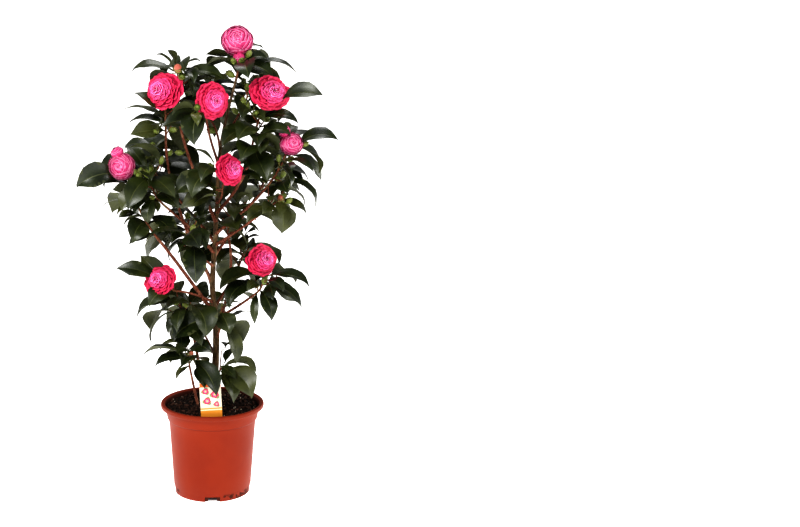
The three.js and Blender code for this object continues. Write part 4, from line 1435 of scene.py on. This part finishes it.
def tube(points, radii, sides, deep=0.0):
    """A closed tube through points; deep is the depth of its bark creases."""
    points = np.asarray(points, float)
    turns = np.arange(sides) * 2 * math.pi / sides
    made = []
    for point, radius, (way, u, v) in zip(points, radii, frames(points)):
        ring = np.cos(turns)[:, None] * u + np.sin(turns)[:, None] * v
        reach = np.full(sides, float(radius))
        if deep:
            along = point[2] + point[0] * 0.7
            reach += [crease(point, t, along, deep * radius) for t in turns]
        made.append(point + ring * reach[:, None])
    count = len(points)
    faces = []
    for i in range(count - 1):
        a, b = i * sides, (i + 1) * sides
        for j in range(sides):
            k = (j + 1) % sides
            faces.append((a + j, a + k, b + k, b + j))
    faces.append(tuple(range(sides - 1, -1, -1)))
    faces.append(tuple(range((count - 1) * sides, count * sides)))
    return np.concatenate(made), faces


print("a tube of rings can follow any line")

# %% [markdown]
# A bough starts inside the trunk with a collar, has the trunk's creases and small knots,
# and runs on into the stem of its spray. All boughs are gathered in one mesh.

# %% Boughs
boughs = Gathering()
for name, limb in limbs.items():
    count = max(8, int(limb.length / 4))
    shares = np.linspace(0, 1, count)
    points = [limb.bend(t) for t in shares]
    radii = []
    for t in shares:
        collar = 0 if name.startswith("stem") else 1.6 * math.exp(-t * limb.length / 7)
        knot = 0.12 * max(0, math.sin(t * limb.length * 0.28)) ** 8
        radii.append(limb.radius(t) * (1 + knot) + collar)
    boughs.add(*tube(points, radii, 12, 0.12), 0)
dress(boughs.piece("boughs_bark", 50), "boughs_bark", "boughs", [young_bark], *LIMBS)

# %% [markdown]
# Stems, twigs and shoots are rings too, thinner and with small joints. The youngest ones
# are still green.

# %% Twigs
twigs = Gathering()
for spray in sprays:
    stem = spray["stem"]
    shares = np.linspace(-0.03, 1, 14)
    radii = [stem.radius(max(t, 0)) * (1 + 0.1 * (i % 3 == 0)) for i, t in enumerate(shares)]
    twigs.add(*tube([stem.bend(t) for t in shares], radii, 8, 0.08), 0)
    for twig in spray["twigs"]:
        shares = np.linspace(0, 1, 6)
        radii = [twig.radius(t) * (1.12 if i in (0, 3) else 0.94) for i, t in enumerate(shares)]
        twigs.add(*tube([twig.bend(t) for t in shares], radii, 7), 0)
    for shoot in spray["shoots"]:
        shares = np.linspace(0, 1, 4)
        twigs.add(*tube([shoot.bend(t) for t in shares], [shoot.radius(t) for t in shares], 6), 1)
dress(twigs.piece("twigs", 50), "twigs", "foliage", [twig_bark, green_bark])

# %% [markdown]
# ## Leaves
# A camellia leaf is thick and glossy: deep green above with a paler rib, yellow-green and
# dull below, its halves bulging a little beside the rib, its edge finely toothed and its
# tip drawn out. An image on a flat card would lose all this, so each leaf is a small
# closed shell. Eleven rows of points follow the spine from the rule, and nine run round
# each row: six above with the rib between them, and three below.

# %% Leaves: one leaf
LEAF_ROWS = np.array((0.0, 0.06, 0.13, 0.23, 0.34, 0.45, 0.56, 0.67, 0.78, 0.88, 0.95))
TOP_COLUMNS = (-1, -0.53, -0.035, 0.035, 0.53, 1)
UNDER_COLUMNS = (0.53, 0.0, -0.53)
BLADE, RIB, BACK = 0, 1, 2
HALF_WIDTH = 0.535  # a little over half, because a thin blade looks narrower than its solid


def hook(leaf, rows, curl):
    """How far the last third of a leaf bends down, past its spine."""
    return leaf["length"] * curl * np.clip(rows - 0.66, 0, 1) ** 2


def leaf_shell(leaf, fold, bulge, wave, twist, sway, curl, phase):
    rows = LEAF_ROWS
    point, side, face = spine(leaf, rows)
    turn = (twist * (rows - 0.35))[:, None]
    cos, sin = np.cos(turn), np.sin(turn)
    side, face = side * cos + face * sin, face * cos - side * sin
    point = point + side * (leaf["length"] * sway * rows * (1 - rows) * 4)[:, None]
    point = point - face * hook(leaf, rows, curl)[:, None]
    t = np.clip((rows - STALK_SHARE) / (1 - STALK_SHARE), 0, 1)
    blade = np.sin(np.pi * t**0.92) ** 0.92
    drawn = 1 - 0.42 * np.clip((rows - 0.72) / 0.23, 0, 1) ** 1.5
    tooth = 1 + 0.035 * (np.arange(len(rows)) % 2)
    wide = np.where(rows < 0.1, 1.25, leaf["width"] * HALF_WIDTH * blade * drawn * tooth)
    stalk = rows < 0.1
    lift = np.where(stalk, 0.3, 1.0)
    thick = np.where(stalk, 1.5, 0.9) * (1 - 0.45 * rows)

    def height(k):
        arch = math.sin(math.pi * min(abs(k), 1))
        edge = wave * np.sin(rows * 15 + phase + (1.6 if k > 0 else 0)) * abs(k) ** 2
        groove = -0.35 if 0.01 < abs(k) < 0.1 else 0.0
        return (wide * (abs(k) * fold + arch * bulge + edge)) * lift + groove * (1 - rows)

    columns = []
    for k in TOP_COLUMNS:
        columns.append(point + side * (wide * k)[:, None] + face * height(k)[:, None])
    for k in UNDER_COLUMNS:
        under = height(k) - thick * (1.5 if k == 0 else 1)
        columns.append(point + side * (wide * k)[:, None] + face * under[:, None])
    points = np.stack(columns, axis=1).reshape(-1, 3)
    around = len(columns)
    faces, finishes = [], []
    strips = (BLADE, BLADE, RIB, BLADE, BLADE, BACK, BACK, BACK, BACK)
    for i in range(len(rows) - 1):
        for j in range(around):
            k = (j + 1) % around
            a, b = i * around, (i + 1) * around
            faces.append((a + j, a + k, b + k, b + j))
            finishes.append(RIB if i == 0 else strips[j])
    end = np.array((1.0,))
    tip, _, up = spine(leaf, end)
    tip = tip - up * hook(leaf, end, curl)[:, None]
    last = (len(rows) - 1) * around
    for j in range(around):
        faces.append((last + j, last + (j + 1) % around, len(points)))
        finishes.append(strips[j])
    faces.append(tuple(range(around - 1, -1, -1)))
    finishes.append(RIB)
    return np.concatenate((points, tip)), faces, finishes


print("a leaf has", len(LEAF_ROWS), "rows")

# %% [markdown]
# The deep green of the blades is dealt out in three tones, a tone to a spray with the odd
# leaf of another, as on a real shrub where each flush of growth has its own age. Young
# leaves take any of these or a fourth, yellower one. Gloss comes from a low roughness, and
# the cloudy noise that varies it breaks up the highlights.

# %% Leaves: finishes
def leaf_finish(name, deep, mid, rough):
    made = Finish(name, mid, rough, Specular_IOR_Level=0.55)
    cloud = made.noise(34.0, 3.0)
    net = made.noise(420.0, 3.0)
    color = made.mix(cloud.above(0.32, 0.68), deep, mid)
    made.set("Base Color", made.mix(net.above(0.5, 0.7) * 0.15, color, tone(82, 88, 40)))
    made.set("Roughness", cloud * 0.16 + (rough - 0.06))
    made.relief(cloud * 0.6 + net * 0.4, 0.0009, 0.45)
    return made


LEAF_TONES = [
    leaf_finish("leaf_deep", tone(18, 27, 8), tone(36, 46, 16), 0.30),
    leaf_finish("leaf_mid", tone(28, 37, 12), tone(50, 58, 22), 0.33),
    leaf_finish("leaf_olive", tone(42, 48, 18), tone(68, 72, 32), 0.36),
    leaf_finish("leaf_young", tone(58, 66, 24), tone(90, 94, 42), 0.34),
]
rib_finish = leaf_finish("leaf_rib", tone(60, 68, 32), tone(86, 90, 48), 0.42)
back_finish = leaf_finish("leaf_back", tone(52, 58, 28), tone(76, 80, 42), 0.6)
print(len(LEAF_TONES), "tones for blades, one for ribs and one for backs")

# %% [markdown]
# No two leaves hang alike. Copies of one leaf would soon be noticed, so each is shaped
# anew, with a fold, bulge, wave, twist, sway and curl from a seeded dice.

# %% Leaves: all of them
leaves = Gathering()
dice = np.random.default_rng(3)


def add_leaf(leaf, tint):
    fold = dice.uniform(0.05, 0.50)
    bulge = dice.uniform(0.02, 0.12)
    wave = dice.uniform(0.0, 0.09)
    twist = dice.uniform(-0.8, 0.8)
    sway = dice.uniform(-0.06, 0.06)
    curl = dice.uniform(0.1, 0.9)
    phase = dice.uniform(0, 6.28)
    points, faces, finishes = leaf_shell(leaf, fold, bulge, wave, twist, sway, curl, phase)
    leaves.add(points, faces, [tint if f == BLADE else 3 + f for f in finishes])


for number, spray in enumerate(sprays):
    main = (0, 1, 0, 2, 1)[number % 5]
    for leaf in spray["leaves"]:
        add_leaf(leaf, main if dice.random() < 0.75 else int(dice.integers(0, 3)))
    for leaf in spray["young"]:
        add_leaf(leaf, int(dice.choice((0, 1, 2, 3), p=(0.2, 0.35, 0.25, 0.2))))
finishes = [*LEAF_TONES, rib_finish, back_finish]
dress(leaves.piece("camellia_leaves", 60), "camellia_leaves", "foliage", finishes, *SPRAYS)

# %% [markdown]
# ## Buds
# Flower buds are fat ovals wrapped in overlapping yellow-green scales, and a few are
# about to open and show a reddish tip. Each is a turned oval with two rounds of scales
# laid on it. A scale, a sepal and a petal are all the same thing, a part of a bowl turned
# about an axis, so one function makes them all.

# %% Petals, sepals and scales: one function
def turned_patch(middle, face, scale, turn, half, line, rows=6, columns=6, ruffle=0.0,
                 notch=0.0, tilt=0.0, thick=0.012, phase=0.0, narrow=0.3, crowd=1.0,
                 stretch=(1, 1)):
    """A patch of a turned bowl. line is base, control and tip as (radius, height)."""
    u_axis, v_axis = square(face)
    base, control, tip = (np.array(p, float) for p in line)
    across = np.linspace(-1, 1, columns + 1)
    ahead = 1 - (1 - np.linspace(0, 1, rows + 1)) ** crowd
    u, v = np.meshgrid(across, ahead)
    reach = v * (1 - 0.20 * np.abs(u) ** 2.6 - notch * np.exp(-((u * 4) ** 2)))
    bowl = base * ((1 - reach) ** 2)[..., None]
    bowl = bowl + control * (2 * reach * (1 - reach))[..., None] + tip * (reach**2)[..., None]
    angle = turn + half * u * (narrow + (1 - narrow) * reach**0.7)
    out = bowl[..., 0] + ruffle * 0.5 * np.sin(phase * 2 + 4.2 * u) * reach**3
    deep = bowl[..., 1] + ruffle * np.sin(phase + 5.5 * u) * reach**2 + tilt * u * reach
    ring = np.cos(angle)[..., None] * u_axis * stretch[0]
    ring = ring + np.sin(angle)[..., None] * v_axis * stretch[1]
    grid = (ring * out[..., None] + deep[..., None] * face) * scale
    normal = np.cross(np.gradient(grid, axis=1), np.gradient(grid, axis=0))
    normal /= np.linalg.norm(normal, axis=2)[..., None] + 1e-9
    fade = (0.35 + 0.65 * np.sin(np.pi * np.clip(0.15 + 0.85 * v, 0, 1)))[..., None]
    under = grid + normal * (thick * scale) * fade
    points = np.concatenate((grid.reshape(-1, 3), under.reshape(-1, 3))) + middle
    wide, count = columns + 1, (rows + 1) * (columns + 1)
    faces, sides, row_of = [], [], []
    for i in range(rows):
        for j in range(columns):
            a = i * wide + j
            quad = (a, a + wide, a + wide + 1, a + 1)
            faces.append(quad)
            sides.append("inner")
            faces.append(tuple(count + k for k in quad[::-1]))
            sides.append("outer")
            row_of += [i, i]
    rim = [j for j in range(wide)] + [i * wide + columns for i in range(1, rows + 1)]
    rim += [rows * wide + j for j in range(columns - 1, -1, -1)]
    rim += [i * wide for i in range(rows - 1, 0, -1)]
    for a, b in zip(rim, rim[1:] + rim[:1]):
        faces.append((a, b, count + b, count + a))
        sides.append("inner" if a < wide * rows else "edge")
        row_of.append(0 if a < wide * rows else rows)
    return points, faces, sides, row_of


def oval(start, way, length, radius, sides=10, rows=7):
    shares = np.linspace(0.02, 0.985, rows)
    points = start + way * (length * shares)[:, None]
    radii = radius * np.sin(np.pi * shares**0.85) ** 0.75
    return tube(points, np.maximum(radii, 0.25), sides)


print("one function for petals, sepals and scales")

# %% [markdown]
# A bud is the oval with three scales low on it and three higher up. One that is about to
# open has shorter upper scales and a reddish core. The rule's own buds come first, in
# the places of their solids.

# %% Buds: those of the rule
bud_scale = Finish("bud_scale", tone(112, 126, 56), 0.42, Specular_IOR_Level=0.4)
blush = bud_scale.noise(120.0, 2.0)
bud_scale.set("Base Color", bud_scale.mix(blush, tone(86, 102, 36), tone(138, 150, 74)))
bud_scale.relief(bud_scale.noise(500.0, 2.0), 0.0004, 0.4)
bud_edge = Finish("bud_edge", tone(176, 172, 96), 0.55)
worn = bud_edge.noise(150.0)
bud_edge.set("Base Color", bud_edge.mix(worn, tone(70, 84, 34), tone(150, 148, 88)))
bud_heart = Finish("bud_heart", tone(190, 100, 84), 0.5)
flush = bud_heart.noise(90.0)
bud_heart.set("Base Color", bud_heart.mix(flush, tone(160, 60, 60), tone(192, 122, 90)))

buds = Gathering()


def add_bud(start, way, length, radius, opening):
    core = radius * (0.90 if opening else 0.94)
    buds.add(*oval(start, way, length, core), 2 if opening else 0)
    spin = dice.uniform(0, 6.28)
    for tier, (low, high, count) in enumerate(((0.0, 0.55, 3), (0.22, 0.86, 3))):
        if opening and tier:
            high = 0.68
        for i in range(count):
            belly = (0.98, (low + high) * 0.5 * length / radius)
            top = (0.80 if high > 0.6 else 0.92, high * length / radius)
            line = ((0.35, low * length / radius), belly, top)
            points, faces, sides, row_of = turned_patch(
                start, way, radius, spin + (i + tier * 0.5) * 2 * math.pi / count, 1.15,
                line, rows=4, columns=4, tilt=0.05, thick=-0.10, narrow=0.75,
            )
            buds.add(points, faces, [1 if r >= 3 else 0 for r in row_of])


for spray in sprays:
    for bud in spray["buds"]:
        add_bud(bud["start"], bud["way"], bud["length"] * 1.15, bud["radius"] * 1.25, False)
print("buds of the rule:", buds.total, "points")

# %% [markdown]
# The rule's own buds are few, because each costs faces in the solids. The rest sit where
# the real plant shows them. Each one looks for the nearest twig, stem or bough and stands
# there on a short stalk, so that it is carried from whichever side it is seen.

# %% Buds: the others, each on the nearest twig
# Middle of the bud, its length, and whether it shows colour
BUDS = [
    (-59, -76, 795, 19, True),
    (-53, -58, 780, 16, False),
    (32, -4, 779, 15, False),
    (63, -25, 817, 13, False),
    (37, -46, 806, 13, False),
    (-22, -43, 759, 12, True),
    (-23, -70, 716, 14, False),
    (-1, 50, 671, 16, False),
    (55, -37, 735, 13, False),
    (41, 23, 710, 13, False),
    (74, -52, 716, 13, False),
    (96, -7, 701, 16, False),
    (78, -19, 673, 13, False),
    (95, 20, 776, 11, False),
    (-97, -46, 683, 12, False),
    (-70, -16, 681, 13, False),
    (-39, -10, 666, 11, False),
    (-76, -4, 637, 12, False),
    (-58, -10, 639, 13, False),
    (-111, -62, 612, 25, False),
    (-128, -46, 603, 15, False),
    (-135, -40, 609, 12, False),
    (-89, -13, 573, 11, False),
    (-105, -49, 565, 12, False),
    (164, -22, 658, 12, False),
    (117, -49, 636, 13, False),
    (138, -10, 629, 13, False),
    (115, -16, 595, 13, False),
    (126, -16, 603, 14, False),
    (121, -52, 563, 16, True),
    (135, -58, 562, 12, False),
    (-40, -34, 273, 14, True),
    (93, -46, 414, 15, False),
    (-48, -46, 368, 11, False),
]

wood = []
for spray in sprays:
    for path in (spray["stem"], *spray["twigs"], *spray["shoots"]):
        wood += [path.at(t) for t in np.linspace(0.08, 1, 14)]
for limb in limbs.values():
    wood += [limb.bend(t) for t in np.linspace(0.3, 1, 20)]
wood = np.array(wood)
stalks = Gathering()


def nearest_wood(point):
    return wood[np.linalg.norm(wood - point, axis=1).argmin()]


def add_stalk(root, end, way):
    knee = (root + end) * 0.5 + unit(end - root) * 1.5 - UP * 1.0
    stalk = Arc(root, knee, end + way * 1.0, 1.35, 1.15, 4)
    shares = np.linspace(0, 1, 5)
    stalks.add(*tube([stalk.bend(t) for t in shares], [stalk.radius(t) for t in shares], 7), 0)


for x, y, z, length, opening in BUDS:
    middle = np.array((x, y, z), float)
    root = nearest_wood(middle)
    way = unit(unit(middle - root) + UP * 0.5)
    start = middle - way * (length * 0.5)
    add_stalk(root, start, way)
    add_bud(start, way, length * 1.2, BUD_RADIUS * length / BUD_LENGTH * 1.35, opening)
bud_finishes = [bud_scale, bud_edge, bud_heart]
dress(buds.piece("camellia_buds", 50), "camellia_buds", "foliage", bud_finishes)

# %% [markdown]
# ## Blooms
# Six blooms are fully open, like a small rose: broad scalloped petals of hot pink-red lie
# almost flat outside, and rounds of smaller, paler petals lie closer together towards a
# lilac heart. The other three, at the ends of the leader and of the side boughs, are still
# balls: their petals close over one another like scales, with pale edges. Fine veins and
# a dull, soft sheen are the same on all petals, so one function makes every finish.

# %% Blooms: finishes
def petal_finish(name, deep, mid):
    made = Finish(name, mid, 0.6, Specular_IOR_Level=0.2)
    vein = made.noise(190.0, 3.0)
    made.set("Base Color", made.mix(vein.above(0.3, 0.7), deep, mid))
    made.relief(vein, 0.0006, 0.5)
    return made


PETALS = [
    petal_finish("petal_red", tone(204, 38, 80), tone(226, 68, 108)),
    petal_finish("petal_hot", tone(222, 58, 114), tone(240, 92, 148)),
    petal_finish("petal_pink", tone(246, 112, 186), tone(254, 152, 212)),
    petal_finish("petal_lilac", tone(250, 172, 226), tone(255, 208, 242)),
    petal_finish("petal_rim", tone(254, 222, 240), tone(255, 244, 250)),
    # Painted shade on petal backs and in the gaps of the red rounds
    petal_finish("petal_shade", tone(160, 20, 58), tone(188, 34, 76)),
    petal_finish("petal_rose", tone(206, 74, 124), tone(228, 108, 154)),
    # Painted shade in the gaps of pink petals, and a deeper body tone for some ball petals
    petal_finish("petal_deep", tone(190, 54, 106), tone(212, 76, 130)),
    petal_finish("petal_pale", tone(236, 132, 176), tone(248, 172, 206)),
]
RED, HOT, PINK, LILAC, RIM, SHADE, ROSE, DEEP, PALE = range(len(PETALS))
print(len(PETALS), "finishes for petals")

# %% [markdown]
# Petals are dealt out in rounds, so that they lie on each other like tiles. One table
# says how many petals a round has, how far and how high they reach, and their colours.
# Blooms don't all face the way their solids do, so another turns and stretches each a
# little.

# %% Blooms: rounds and turns
# Rounds of the open bloom: petals, reach and height of the tips, body, rim, painted gap shade
OPEN_ROUNDS = [
    (6, 1.10, -0.18, RED, RED, SHADE),
    (7, 1.00, -0.08, RED, HOT, SHADE),
    (7, 0.88, 0.02, RED, RED, SHADE),
    (7, 0.76, 0.12, RED, HOT, SHADE),
    (8, 0.65, 0.22, HOT, PINK, DEEP),
    (8, 0.55, 0.32, HOT, RIM, DEEP),
    (8, 0.46, 0.40, HOT, RIM, DEEP),
    (7, 0.37, 0.47, PINK, RIM, HOT),
    (6, 0.28, 0.53, PINK, RIM, HOT),
    (5, 0.19, 0.58, PINK, RIM, HOT),
    (4, 0.11, 0.61, LILAC, RIM, HOT),
    (3, 0.04, 0.63, PINK, RIM, HOT),
]
# Rounds of the ball: angle of the rims from the direction it faces, and petals
BALL_ROUNDS = [
    (86, 6), (72, 6), (59, 6), (47, 5), (36, 5), (26, 4), (17, 4), (8, 3), (-1, 3), (-9, 3),
]

# How a bloom turns past its mass, in degrees to the right and up, and its width and height
BLOOM_LOOK = {
    "spray_upper_left": (-20, 8, 1.24, 1.02),
    "spray_top_front": (2, -6, 1.0, 1.10),
    "spray_top_right": (20, 4, 1.32, 0.94),
    "spray_front": (20, 10, 1.10, 1.0),
    "spray_low_left": (-8, 10, 1.12, 1.02),
    "spray_low_right": (20, 2, 1.14, 0.94),
    "spray_leader": (-6, 6, 1.04, 1.02),
    "spray_far_right": (0, 6, 1.04, 0.98),
    "spray_far_left": (0, 4, 1.04, 1.04),
}
print(sum(row[0] for row in OPEN_ROUNDS), "petals in an open bloom")

# %% [markdown]
# A petal is a patch of a bowl. Its rows crowd towards its rim, so that the rim is narrow
# and can be paler than the body. Its back and the gap below it get painted shade, a darker
# colour that draws a line between petals as shade does in a real bloom. Five small green
# sepals stand behind.

# %% Blooms: a petal and the sepals
OPEN_HALF, BALL_HALF = 4.46, 4.6  # a petal's half angle times the petals of its round
ROW_CROWD = 1.85  # how much a petal's rows crowd towards its rim
SEPALS, SEPAL_TURN = 5, 1.2566

blooms = Gathering()
sepals = Gathering()


def add_petal(bloom, turn, half, line, colors, ruffle, notch, ball=False):
    middle, face, radius = bloom["middle"], bloom["face"], bloom["radius"]
    body, rim, gap = colors
    points, faces, sides, row_of = turned_patch(
        middle, face, radius, turn, half, line, ruffle=ruffle, notch=notch,
        tilt=0.05, phase=dice.uniform(0, 6.28), crowd=ROW_CROWD, stretch=bloom["stretch"],
    )
    last = max(row_of)
    finishes = []
    for side, row in zip(sides, row_of):
        # Painted shade: backs of open petals and the low rows in the gap under the next round
        if side == "outer" and not ball:
            finishes.append(SHADE if body == RED else DEEP)
        elif side == "edge" or (ball and row >= last - 1):
            finishes.append(rim)
        else:
            finishes.append(body if row >= last - 2 else gap)
    blooms.add(points, faces, finishes)


def add_sepals(middle, face, radius, low):
    for i in range(SEPALS):
        line = ((0.06, low), (0.34, low + 0.02), (0.46, low + 0.26))
        points, faces, _, row_of = turned_patch(
            middle, face, radius, i * SEPAL_TURN, 0.85, line, rows=4, columns=4, thick=0.03,
        )
        sepals.add(points, faces, [1 if r >= 3 else 0 for r in row_of])


print("petals and sepals can be added")

# %% [markdown]
# An open bloom lays its petals outwards, and a ball closes them over its middle. Both go
# round by round from the outside in. Each petal has a small turn and lift of its own,
# because even rounds would look as if turned on a lathe.

# %% Blooms: open and ball
def open_bloom(bloom):
    """Petals that lie outwards in rounds, each round higher and nearer the middle."""
    spin = dice.uniform(0, 6.28)
    for number, (count, reach, height, *colors) in enumerate(OPEN_ROUNDS):
        ruffle, loose = (0.05, 0.10) if number < 4 else (0.03, 0.05)
        for i in range(count):
            turn = spin + number * 0.41 + (i + dice.uniform(-0.14, 0.14)) * 6.283 / count
            tip = np.array((reach, height + dice.uniform(-1, 1) * loose * 0.3))
            tip[0] *= 1 + dice.uniform(-1.1, 0.8) * loose
            line = ((0.05, height - 0.3), (reach * 0.58, height + 0.08), tip)
            notch = 0.08 if number < 4 else 0.04
            add_petal(bloom, turn, OPEN_HALF / count, line, colors, ruffle, notch)
    add_sepals(bloom["middle"], bloom["face"], bloom["radius"], -0.50)


def ball_bloom(bloom, rounds=BALL_ROUNDS, step=0.034):
    """Petals that close over one another like scales, their rims towards the middle."""
    spin = dice.uniform(0, 6.28)
    for number, (angle, count) in enumerate(rounds):
        far = 1 - step * number
        for i in range(count):
            a = math.radians(angle + dice.uniform(-7, 7) * min(1, abs(angle) / 30))
            turn = spin + number * 0.5 + (i + dice.uniform(-0.2, 0.2)) * 6.283 / count
            # Base, control and rim: share of the reach, and angle past the rim
            line = [
                (far * k * math.sin(a + b), far * k * math.cos(a + b))
                for k, b in ((0.9, 1.3), (1.2, 0.62), (1.03, 0.0))
            ]
            # Every third petal has the deeper body; DEEP below each rim is painted shade
            colors = ((ROSE, ROSE, DEEP)[(number + i) % 3], PALE, DEEP)
            add_petal(bloom, turn, BALL_HALF / count, line, colors, 0.04, 0.05, True)
    add_sepals(bloom["middle"], bloom["face"], bloom["radius"], -0.92)


print("an open bloom has", len(OPEN_ROUNDS), "rounds and a ball", len(BALL_ROUNDS))

# %% [markdown]
# Each bloom is built where its solid is. Three side buds have burst into tufts of petals,
# which are small balls with fewer rounds, each on a stalk like a bud's.

# %% Blooms: each in its place
for spray in sprays:
    if spray["bloom"]:
        bloom = dict(spray["bloom"])
        right, up, *bloom["stretch"] = BLOOM_LOOK[spray["name"]]
        face = bloom["face"] + np.array((math.tan(right * DEG), 0, math.tan(up * DEG)))
        bloom["face"] = unit(face)
        (ball_bloom if bloom["ball"] else open_bloom)(bloom)

# Three side buds that have burst into a tuft of petals: middle, direction, radius
TUFTS = [
    ((46, -20, 811), (0.2, -0.35, -0.9), 10.5),
    ((127, -28, 682), (-0.5, -0.3, 0.8), 11),
    ((-166, -32, 642), (-0.45, -0.3, 0.85), 11.5),
]
for middle, face, radius in TUFTS:
    middle, face = np.array(middle, float), unit(np.array(face))
    tuft = dict(middle=middle, face=face, radius=radius, stretch=(1, 1))
    ball_bloom(tuft, [(66, 5), (46, 5), (28, 4), (12, 3), (-4, 3)], 0.06)
    foot = middle - face * (radius * 0.4)
    add_stalk(nearest_wood(foot), foot, face)
dress(blooms.piece("camellia_blooms", 55), "camellia_blooms", "foliage", PETALS)
dress(stalks.piece("bud_stalks", 50), "bud_stalks", "foliage", [green_bark])
dress(sepals.piece("camellia_sepals", 50), "camellia_sepals", "foliage", [bud_scale, bud_edge])

# %% [markdown]
# ## Last: measure and finish
# The box of the dressed plant is printed in millimetres, as the box of its solids was at the
# start.

# %% Size and finish
low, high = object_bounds()
print("visual box in mm", (np.array(low) / MM).round(1), (np.array(high) / MM).round(1))
